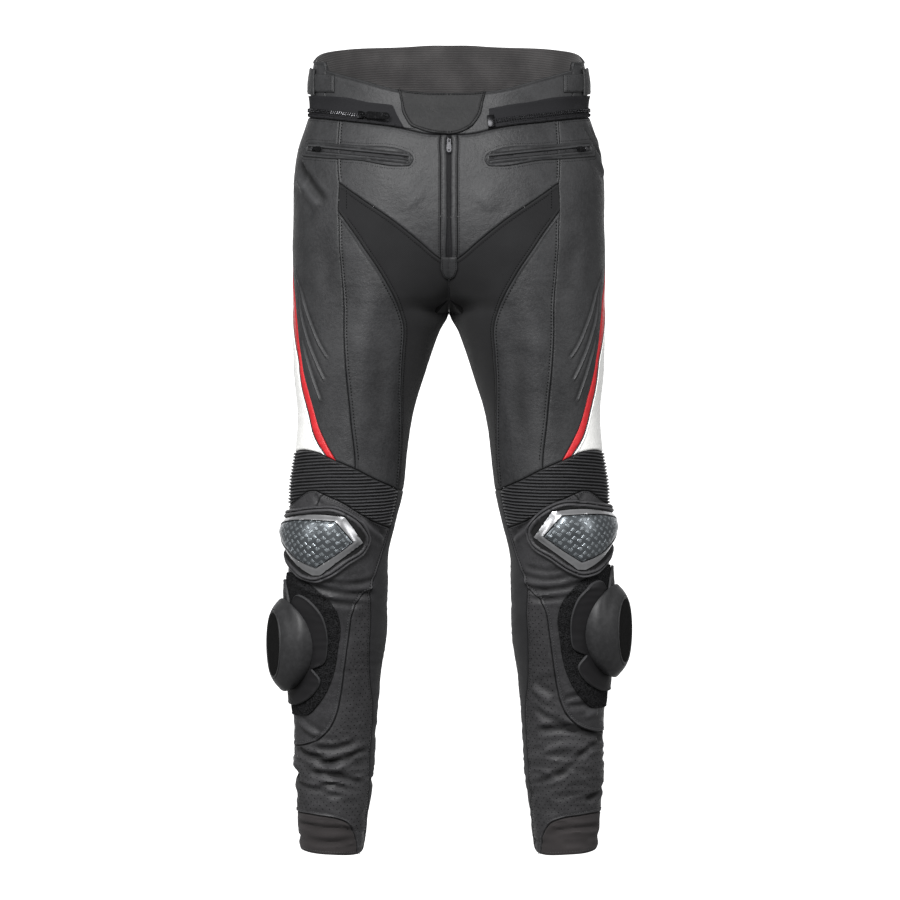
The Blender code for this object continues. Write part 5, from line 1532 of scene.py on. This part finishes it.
CUP_RISE = {"R": -3.5, "L": 3.5}
outline("knee_bolster", [(1.96, -510.5), (1.6, -507), (1.32, -503.5), (1.05, -503.5), (0.87, -512),
                         (0.70, -526), (0.585, -544), (0.615, -561), (0.83, -578.5),
                         (1.04, -594), (1.2, -600.5), (1.42, -598), (1.7, -584), (1.96, -573.5),
                         (2.27, -562), (2.45, -540), (2.27, -516), (1.96, -510.5)], CUP_RISE)
outline("cup_rim", [(0.94, -517), (0.94, -517), (0.84, -530), (0.69, -549), (0.69, -549),
                    (0.9, -568), (1.16, -590), (1.16, -590), (1.26, -590.5), (1.26, -590.5),
                    (1.42, -583), (1.7, -566), (1.95, -553), (2.15, -547),
                    (2.28, -538), (2.15, -528), (1.9, -521.5), (1.6, -517), (1.2, -514.5),
                    (0.94, -517), (0.94, -517)], CUP_RISE, 1.6)
outline("cup_window", [(1.03, -523), (1.03, -523), (0.82, -547.5), (0.82, -547.5),
                       (1.0, -565), (1.2, -580), (1.2, -580), (1.45, -571), (1.7, -557),
                       (1.93, -546), (2.08, -538), (1.95, -530), (1.71, -524.5), (1.4, -521.8),
                       (1.03, -523), (1.03, -523)], CUP_RISE, 1.6)


def roll_form(facts):
    """Two padded rolls round the cup with a sewn channel between them; painted highlight on
    the rolls and painted shade between them.
    """
    share = far_from(facts, "knee_bolster") / 4.4
    roll = np.sqrt(np.clip(1 - (2 * (share % 1) - 1) ** 2, 0, 1)) * (share < 2)
    return 2.2 + 1.1 * np.clip(share, 0, 2) + 2.7 * roll, 0.9 - 1.8 * roll


def frame_form(facts):
    """A moulded bezel: one flat facet from the shell's edge down to the rim."""
    outer, inner = far_from(facts, "cup_rim"), far_from(facts, "cup_window")
    share = outer / np.maximum(outer + inner, 0.01)
    return 6.2 + 4.6 * ease(share * 0.94 + 0.03), 0 * outer


def shell_form(facts):
    """A low dome."""
    inner = far_from(facts, "cup_window")
    dome = np.sqrt(np.clip(1 - (1 - np.clip(inner / 26, 0, 1)) ** 2, 0, 1))
    return 8.4 + 5.8 * dome, 0 * inner


cup_metal = Finish("silver frame", Metallic=0.85)
cup_brush = cup_metal.noise(120, 3)
cup_metal.finish(Base_Color=cup_metal.blend(cup_brush, (0.33, 0.33, 0.34), (0.47, 0.475, 0.485)),
                 Roughness=cup_brush * 0.1 + 0.27,
                 Normal=cup_metal.bump(cup_metal.noise(900, 2), 0.03, 0.3))

# The shell's raised pattern: short bars that lie crosswise in turns, like a basket's
# weave, and become rows of upright slots at the outer side.
shell_look = Finish("gunmetal shell", Metallic=0.75)
shell_place = shell_look.node("VectorRotate", {"rotation_type": "Z_AXIS"},
                              {"Vector": shell_look.read("laid", "Vector"), "Angle": radians(38)})
BAR_CELL = 7.0 * MM
squares = shell_look.node("TexChecker", {}, {"Vector": shell_place, "Scale": 1 / BAR_CELL}, "Fac")
bars = [shell_look.bands(way, pi / (10 * BAR_CELL), shell_place, **{"Phase Offset": -pi / 2})
        for way in "XY"]
weave = (squares * bars[0].between(0.55, 0.85) * bars[1].between(0.05, 0.25)
         + (1 - squares) * bars[1].between(0.55, 0.85) * bars[0].between(0.05, 0.25))
upright = shell_look.node("VectorRotate", {"rotation_type": "Z_AXIS"},
                          {"Vector": shell_look.read("laid", "Vector"), "Angle": radians(90)})
slots = shell_look.node("TexBrick", {"offset": 0.5}, {
    "Vector": upright, "Scale": 1 / MM, "Mortar Size": 1.75, "Mortar Smooth": 0.35,
    "Brick Width": 7.6, "Row Height": 5.4}, "Fac")
outer_side = shell_look.read("side", "Fac")
relief = weave * (1 - outer_side) + (1 - slots) * outer_side
shell_tone = shell_look.noise(60, 2)
# The raised bars are painted lighter than the ground between them: painted highlight.
shell_look.finish(Base_Color=shell_look.blend(relief * 0.7 + shell_tone * 0.3, (0.07, 0.077, 0.084),
                                              (0.30, 0.33, 0.35)),
                  Roughness=shell_look.noise(260, 3) * 0.14 + 0.24,
                  Normal=shell_look.bump(relief, 0.5, 0.9))


for side, rise in CUP_RISE.items():
    sewn(knee_leather_painted_lighter, "black_leather", f"knee_bolster_{side}", [(0.67, -548 + rise)],
         ("knee_bolster", "cup_rim"), top=roll_form, under=GAP, pitch=1.5,
         beside=(0.7, 2.2, 3.6, 4.4, 5.2, 6.6), lip=0.9, roll=1.4, hollow=8)
    hard(cup_metal, "silver_frame", f"cup_frame_{side}", [(0.75, -547 + rise)],
         ("cup_rim", "cup_window"), top=frame_form, under=GAP, pitch=1.5, beside=(0.6,), lip=0.8,
         roll=0.9, gap=1.0, hollow=6)
    shell = hard(shell_look, "gunmetal_shell", f"cup_shell_{side}", [(1.4, -545 + rise)],
                 ("cup_window",), top=shell_form, under=GAP, pitch=1.6, beside=(0.5,), lip=0.6,
                 roll=0.9, gap=1.0, hollow=9)
    laid = np.empty(len(shell.data.vertices) * 3, "f")
    shell.data.attributes["laid"].data.foreach_get("vector", laid)
    middle = laid_flat([(1.66, -540)])[0, 0]
    shell.data.attributes.new("side", "FLOAT", "POINT").data.foreach_set(
        "value", ease((laid[::3] / MM - middle) / 3 + 0.5))
grey_thread = mottled("grey thread", 900, (0.05, 0.05, 0.052), (0.10, 0.10, 0.103),
                      Roughness=0.8, Specular_IOR_Level=0.1)
stitch("knee_stitches",
       both(0, "inner_front", 4.2, -930, -540) + both(3.5, "knee_bolster", 4.4)
       + both(0.1, "ribs_bottom", -2.2, 0.3, 2.6, 0), pitch=3.5, length=2.1, thick=1.0)
stitch("shin_stitches", both(0.4, "shin_seam", 4.2), pitch=3.6, length=1.9, thick=1.2,
       look=grey_thread)

# -------------------------------------------------------------- knee sliders
# A patch of loop fastener sewn to the shin carries a soft moulded base with two leaves,
# and on it a hard satin puck with an oval inlay, held by hook and loop so that it can
# be changed when it is worn.

PATCH_RISE = {"R": -5.0, "L": 5.0}
SLIDER_RISE = {"R": -9.0, "L": 9.0}
SLIDER_MIDDLE, FOOT_TURN, FOOT_HIGH, FOOT_LIFT = (1.8, -676.0), 0.535, 58.0, 6.6
half_patch = [(1.6, -590), (1.5, -594.5), (1.25, -606.5), (1.06, -622), (0.96, -636), (0.92, -654),
              (0.945, -680), (1, -715), (1.1, -739), (1.23, -755.5), (1.41, -769), (1.6, -771)]
outline("velcro", half_patch + [(2 * SLIDER_MIDDLE[0] - turn, z) for turn, z in reversed(half_patch)]
        + half_patch[:1], PATCH_RISE, 2.4)
outline("slider_base", [(1.675, -627), (1.675, -627), (1.5, -610), (1.35, -614.5),
                        (1.18, -630), (1.09, -653), (1.08, -675), (1.13, -697),
                        (1.29, -704.7), (1.29, -704.7), (1.18, -718), (1.28, -737),
                        (1.48, -749), (1.8, -754), (2.12, -749), (2.32, -737), (2.42, -718),
                        (2.31, -704.7), (2.31, -704.7), (2.47, -697), (2.52, -675),
                        (2.51, -653), (2.42, -630), (2.3, -618), (2.22, -625), (2.22, -625),
                        (2.15, -603), (1.95, -593), (1.78, -604), (1.675, -627)], SLIDER_RISE)

loop_pile = Finish("loop pile", Roughness=1.0, Specular_IOR_Level=0.06)
pile_knots = loop_pile.cells(620)
pile_tufts = loop_pile.noise(320, 3, 0.7)
loop_pile.finish(Base_Color=loop_pile.blend((pile_tufts * 0.7 + pile_knots * 0.5).between(0.3, 0.8),
                                            (0.001, 0.001, 0.001), (0.019, 0.019, 0.020)),
                 Normal=loop_pile.bump(pile_tufts + pile_knots, 1.1, 1.0))
soft_plastic = Finish("soft black plastic", Specular_IOR_Level=0.22)
plastic_skin = soft_plastic.noise(1500, 2)
# Painted highlight along the raised bead at the base's edge.
edge_highlight = soft_plastic.read("edge").between(0.2, 1.6, 1.0, 0.0)
soft_plastic.finish(Base_Color=soft_plastic.blend(edge_highlight, (0.0105, 0.0102, 0.0112),
                                                  (0.04, 0.04, 0.042)),
                    Roughness=soft_plastic.noise(90, 3) * 0.14 + 0.5,
                    Normal=soft_plastic.bump(plastic_skin, 0.06, 0.5))


def pile_form(facts):
    """A thick pile with a sewn edge; its surface is slightly tufted."""
    points = form(facts.places[:, 0], facts.places[:, 1])
    tuft = np.array([noise.noise(Vector(p) / 3.2) for p in points])
    return 2.4 + 0.3 * tuft - 0.7 * np.exp(-((facts.edge - 2.6) / 0.9) ** 2), 0 * tuft


def base_form(facts):
    """Leaves with a raised bead along their edge."""
    bead = np.exp(-((facts.edge - 1.3) / 0.9) ** 2)
    return 5.7 + 0.6 * bead + 0.4 * ease((facts.edge - 3) / 9), -bead


for side in "RL":
    sewn(loop_pile, "loop_fastener", f"velcro_{side}", [SLIDER_MIDDLE], ("velcro",), top=pile_form,
         under=GAP, pitch=2.0, beside=(0.8,), lip=1.0, roll=1.2, hollow=12)
    hard(soft_plastic, "soft_black_plastic", f"slider_base_{side}", [SLIDER_MIDDLE],
         ("slider_base",), top=base_form, under=2.9, pitch=2.2, beside=(0.6, 1.3), lip=1.1,
         roll=1.1, hollow=12)
stitch("patch_stitches", both(1.7, "velcro", 2.6), pitch=2.8, length=2.0, thick=0.75)

# Rings of the puck from its shoulder to the middle of its face: height over the middle of
# its foot, half width and half height. A swelling skirt joins the shoulder to the foot.
PUCK_RINGS = ((14.5, 50.2, 56.4), (17.0, 47.4, 54.0), (19.2, 44.2, 51.4), (21.2, 40.9, 48.6),
              (22.6, 37.9, 46.2), (23.2, 36.4, 45.0), (23.2, 35.8, 44.5), (22.7, 35.3, 44.1),
              (22.7, 34.9, 43.8), (23.8, 34.5, 43.4), (24.3, 34.0, 43.0), (24.4, 33.0, 42.1),
              (24.3, 32.3, 41.5), (23.6, 31.9, 41.1), (23.6, 31.4, 40.6), (23.9, 30.8, 40.1),
              (24.0, 26.0, 34.0), (24.0, 17.0, 22.0), (24.0, 8.0, 10.0))
PUCK_LEAN, PUCK_SWELL = radians(72), 0.2

hard_plastic = Finish("hard black plastic", Specular_IOR_Level=0.36)
puck_scuffs = hard_plastic.noise(150, 4, 0.65)
hard_plastic.finish(Base_Color=hard_plastic.blend(puck_scuffs.between(0.35, 0.75),
                                                  (0.017, 0.017, 0.018), (0.027, 0.027, 0.0285)),
                    Roughness=puck_scuffs * 0.12 + 0.44,
                    Normal=hard_plastic.bump(hard_plastic.noise(1100, 2), 0.05, 0.45))
inlay = mottled("matt inlay", 300, (0.003, 0.003, 0.003), (0.006, 0.006, 0.006), 3,
                Specular_IOR_Level=0.05, Roughness=0.8)
for side, rise in SLIDER_RISE.items():
    hand = 1 if side == "L" else -1
    axis = np.array([hand * sin(PUCK_LEAN), -cos(PUCK_LEAN), 0])
    across = np.array([hand * cos(PUCK_LEAN), sin(PUCK_LEAN), 0])
    middle = form(SLIDER_MIDDLE[0], SLIDER_MIDDLE[1] + rise) * (hand, 1, 1)
    vertices, corners = [], 72
    circle = [(cos(2 * pi * k / corners), sin(2 * pi * k / corners)) for k in range(corners)]
    for share in (0.1, 0.4, 0.7, 0.95, 1.0):
        places = np.array(circle) * (-FOOT_TURN, FOOT_HIGH) * share + SLIDER_MIDDLE + (0, rise)
        vertices += list(lifted(side, places, FOOT_LIFT)[0])
    foot = np.array(vertices[-corners:])
    rings = [[middle + axis * height - across * wide * c + np.array([0, 0, high * s])
              for c, s in circle] for height, wide, high in PUCK_RINGS]
    outward = np.array(rings[0]) - middle
    outward /= np.linalg.norm(outward, axis=1)[:, None]
    reach = np.linalg.norm(rings[0] - foot, axis=1)[:, None]
    for share in (0.12, 0.25, 0.4, 0.55, 0.7, 0.85):
        vertices += list(foot * (1 - share) + np.array(rings[0]) * share
                         + outward * reach * PUCK_SWELL * sin(pi * share))
    vertices += [point for ring in rings for point in ring]
    count = len(vertices) // corners
    faces = [tuple(range(corners)), tuple(range((count - 1) * corners, count * corners))]
    for r in range(0, (count - 1) * corners, corners):
        for k in range(corners):
            j = (k + 1) % corners
            faces.append((r + k, r + j, r + corners + j, r + corners + k))
    mesh = closed_mesh(f"worn_slider_puck_{side}", vertices, faces)
    for look in (hard_plastic, inlay):
        mesh.materials.append(look.material)
    mesh.polygons.foreach_set("material_index", [
        int(min(face.vertices) >= (count - 4) * corners) for face in mesh.polygons])
    made = smooth_object(mesh.name, mesh, 50)
    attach(made, "trousers")
    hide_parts(f"slider_puck_{side}")

# ------------------------------------------------------- calves, inner legs, cuffs
# Punched cowhide round the calf, lapped over the shin's leather, with a strip of stretch
# cloth down the inside of the leg and a turned cuff of thin stretch cloth at the hem.

FOLDS += [
    ("R", -3.4, 4.2, [(1.70, -817), (1.59, -823), (1.35, -828), (1.10, -831)]),
    ("R", -2.6, 4.0, [(1.33, -818), (0.95, -816), (0.60, -808)]),
    ("R", -2.8, 4.0, [(1.30, -840), (1.02, -835), (0.81, -831), (0.58, -823), (0.30, -820)]),
    ("R", -2.8, 4.2, [(1.42, -849), (1.02, -850), (0.76, -856), (0.36, -866)]),
    ("R", -1.9, 3.6, [(1.24, -864), (0.98, -864), (0.77, -868)]),
    ("R", -2.4, 4.0, [(1.80, -862), (1.60, -866), (1.29, -870), (1.05, -870)]),
    ("R", -1.4, 3.5, [(1.05, -878), (0.82, -878)]),
    ("R", 1.8, 4.5, [(1.40, -842), (1.07, -844), (0.79, -835)]),
    ("R", -2.6, 8.0, [(2.3, -850), (1.95, -854), (1.65, -857)]),
    ("R", 2.0, 7.0, [(2.2, -835), (1.9, -838), (1.7, -842)]),
    ("R", -2.2, 3.4, [(1.9, -916), (1.55, -917), (1.11, -919), (0.74, -921.3), (0.49, -926.5)]),
    ("R", -1.2, 4.0, [(1.6, -935), (1.1, -937), (0.6, -939)]),
    ("L", -1.8, 3.6, [(1.85, -922), (1.4, -919), (0.95, -921), (0.6, -928)]),
    ("L", -1.3, 4.2, [(1.5, -941), (1.2, -938), (0.9, -938)]),
    ("L", -3.6, 5.0, [(0.46, -796), (0.83, -791), (1.14, -793), (1.48, -798), (1.9, -808)]),
    ("L", -2.2, 4.4, [(0.52, -763), (0.69, -775), (0.92, -783), (1.31, -795)]),
    ("L", -2.6, 4.6, [(1.12, -833), (1.41, -818), (1.95, -804)]),
    ("L", -2.4, 4.6, [(0.42, -866), (0.86, -851), (1.18, -837)]),
    ("L", -2.4, 4.4, [(1.34, -885), (1.79, -876), (2.0, -867)]),
    ("L", 2.0, 5.0, [(0.50, -737), (0.82, -757)]),
    ("L", 1.6, 6.0, [(0.60, -820), (1.1, -812), (1.6, -822)]),
    ("RL", -2.4, 5.0, [(2.1, -824), (2.6, -832), (3.1, -826)]),
    ("RL", -2.2, 5.0, [(2.4, -852), (2.9, -846), (3.4, -852)]),
    ("RL", -2.0, 4.6, [(2.2, -876), (2.7, -882), (3.2, -878)]),
    ("RL", 1.8, 6.0, [(2.3, -840), (2.8, -838), (3.2, -842)]),
    ("RL", -1.6, 5.0, [(3.0, -640), (3.3, -648), (3.6, -644)]),
    ("RL", -1.8, 5.0, [(2.9, -702), (3.3, -710), (3.6, -704)]),
]
# The black leather again in a lighter tone: painted light on the lower legs, where less light
# reaches.
calf_leather_painted_lighter = leather("calf leather", (0.022, 0.0216, 0.0228), (0.042, 0.0413, 0.0434), 0.47, 1.1)
inner_cloth = stretch_cloth("inner leg cloth", (0.012, 0.012, 0.013), (0.028, 0.028, 0.03), 1.2)
cuff_cloth = stretch_cloth("cuff cloth", (0.023, 0.0205, 0.0208), (0.044, 0.0395, 0.040), 0.9)
for side in "RL":
    sewn(calf_leather_painted_lighter, "black_leather", f"calf_{side}", [(0.7, -850)],
         ("inner_front", "shin_seam", "knee_back", "inner_back", "cuff_seam", "hem", "shin_back"),
         pitch=2.8, stitched=("cuff_seam",))
    sewn(inner_cloth, "stretch_cloth", f"inner_leg_{side}", [(0.1, -700), (3.9, -700)],
         ("inner_front", "inner_back", "gusset_hem_front", "gusset_hem_back", "hem",
          "centre_front", "centre_back", "ribs_bottom"), pitch=4.2, lip=1.3, roll=2.6)
    sewn(cuff_cloth, "stretch_cloth", f"cuff_{side}", [(2, -930)], ("cuff_seam", "hem"), pitch=3.0)
stitch("calf_stitches", both(0.4, "cuff_seam", 4.2) + both(0, "hem", 4.0, 0.5, 3.5, 0),
       pitch=3.6, length=1.9, thick=1.2, look=grey_thread)

# Punched holes in staggered rows, kept clear of the seams.
holes = Growth("punched holes", [("Radius", "Float"), ("Finish", "Material")])
hole_turn = holes.node("FunctionNodeAlignRotationToVector", {"axis": "Z"},
                       {"Vector": holes.outwards()})
hole_one = holes.node("GeometryNodeMeshCircle", {"fill_type": "TRIANGLE_FAN"},
                      {"Vertices": 8, "Radius": holes.given("Radius")})
hole_points = holes.node("GeometryNodeMeshToPoints", {}, {"Mesh": holes.given("Geometry")})
holes.spread(hole_points, hole_one, hole_turn)
# Painted shade: each hole is a flat black disc without gloss, laid on the leather as the dark inside
# of the hole.
hole_black = mottled("hole", 800, (0.001, 0.001, 0.001), (0.003, 0.003, 0.003),
                     Roughness=1.0, Specular_IOR_Level=0.0)
for side, lines in LINES.items():
    shin, cuff, inner_f, inner_b = (np.array(lines[name]) for name in (
        "shin_seam", "cuff_seam", "inner_front", "inner_back"))
    places = []
    for r, z in enumerate(np.arange(-940, -600, 4.5)):
        reach = laid_flat([(0, z), (4, z)])[:, 0]
        places += [(x, z) for x in np.arange(reach[0] + (4.4 if r % 2 else 0), reach[1], 8.8)]
    places = taken_up(np.array(places))
    turn, z = places.T
    low = np.interp(turn, cuff[:, 0], cuff[:, 1])
    keep = (z > low + 7) & (turn > np.interp(z, inner_f[::-1, 1], inner_f[::-1, 0]) + 0.05)
    keep &= turn < np.interp(z, inner_b[::-1, 1], inner_b[::-1, 0]) - 0.05
    bend = int(np.argmin(shin[:, 1]))
    front, back = shin[:bend], shin[bend:]
    under = np.where(turn < 1.6, np.interp(turn, front[:, 0], front[:, 1]),
                     np.interp(turn, back[:, 0], back[:, 1], right=-590))
    keep &= (z < under - 5) | ((turn > 2.9) & (z < -606))
    keep &= clearance(laid_flat(places), *spans(laid_flat(shin)))[0] > 5.5
    made = holes.on(f"punched_holes_{side}", seeded("dots", *lifted(side, places[keep], 0.12)),
                    Radius=0.68 * MM, Finish=hole_black.material)

# ---------------------------------------------------------------------- pulls
# Flat cast pulls on the zips' sliders: short ones at the fly and the pockets, a long
# one with an eye at the linking zip. Each swings on its slider's arch.

for name in ("fly_pull", "link_zip_pull", "pocket_pull_R", "pocket_pull_L"):
    node = frame["nodes"][name]
    node.data.materials.clear()
    node.data.materials.append(black_metal.material)
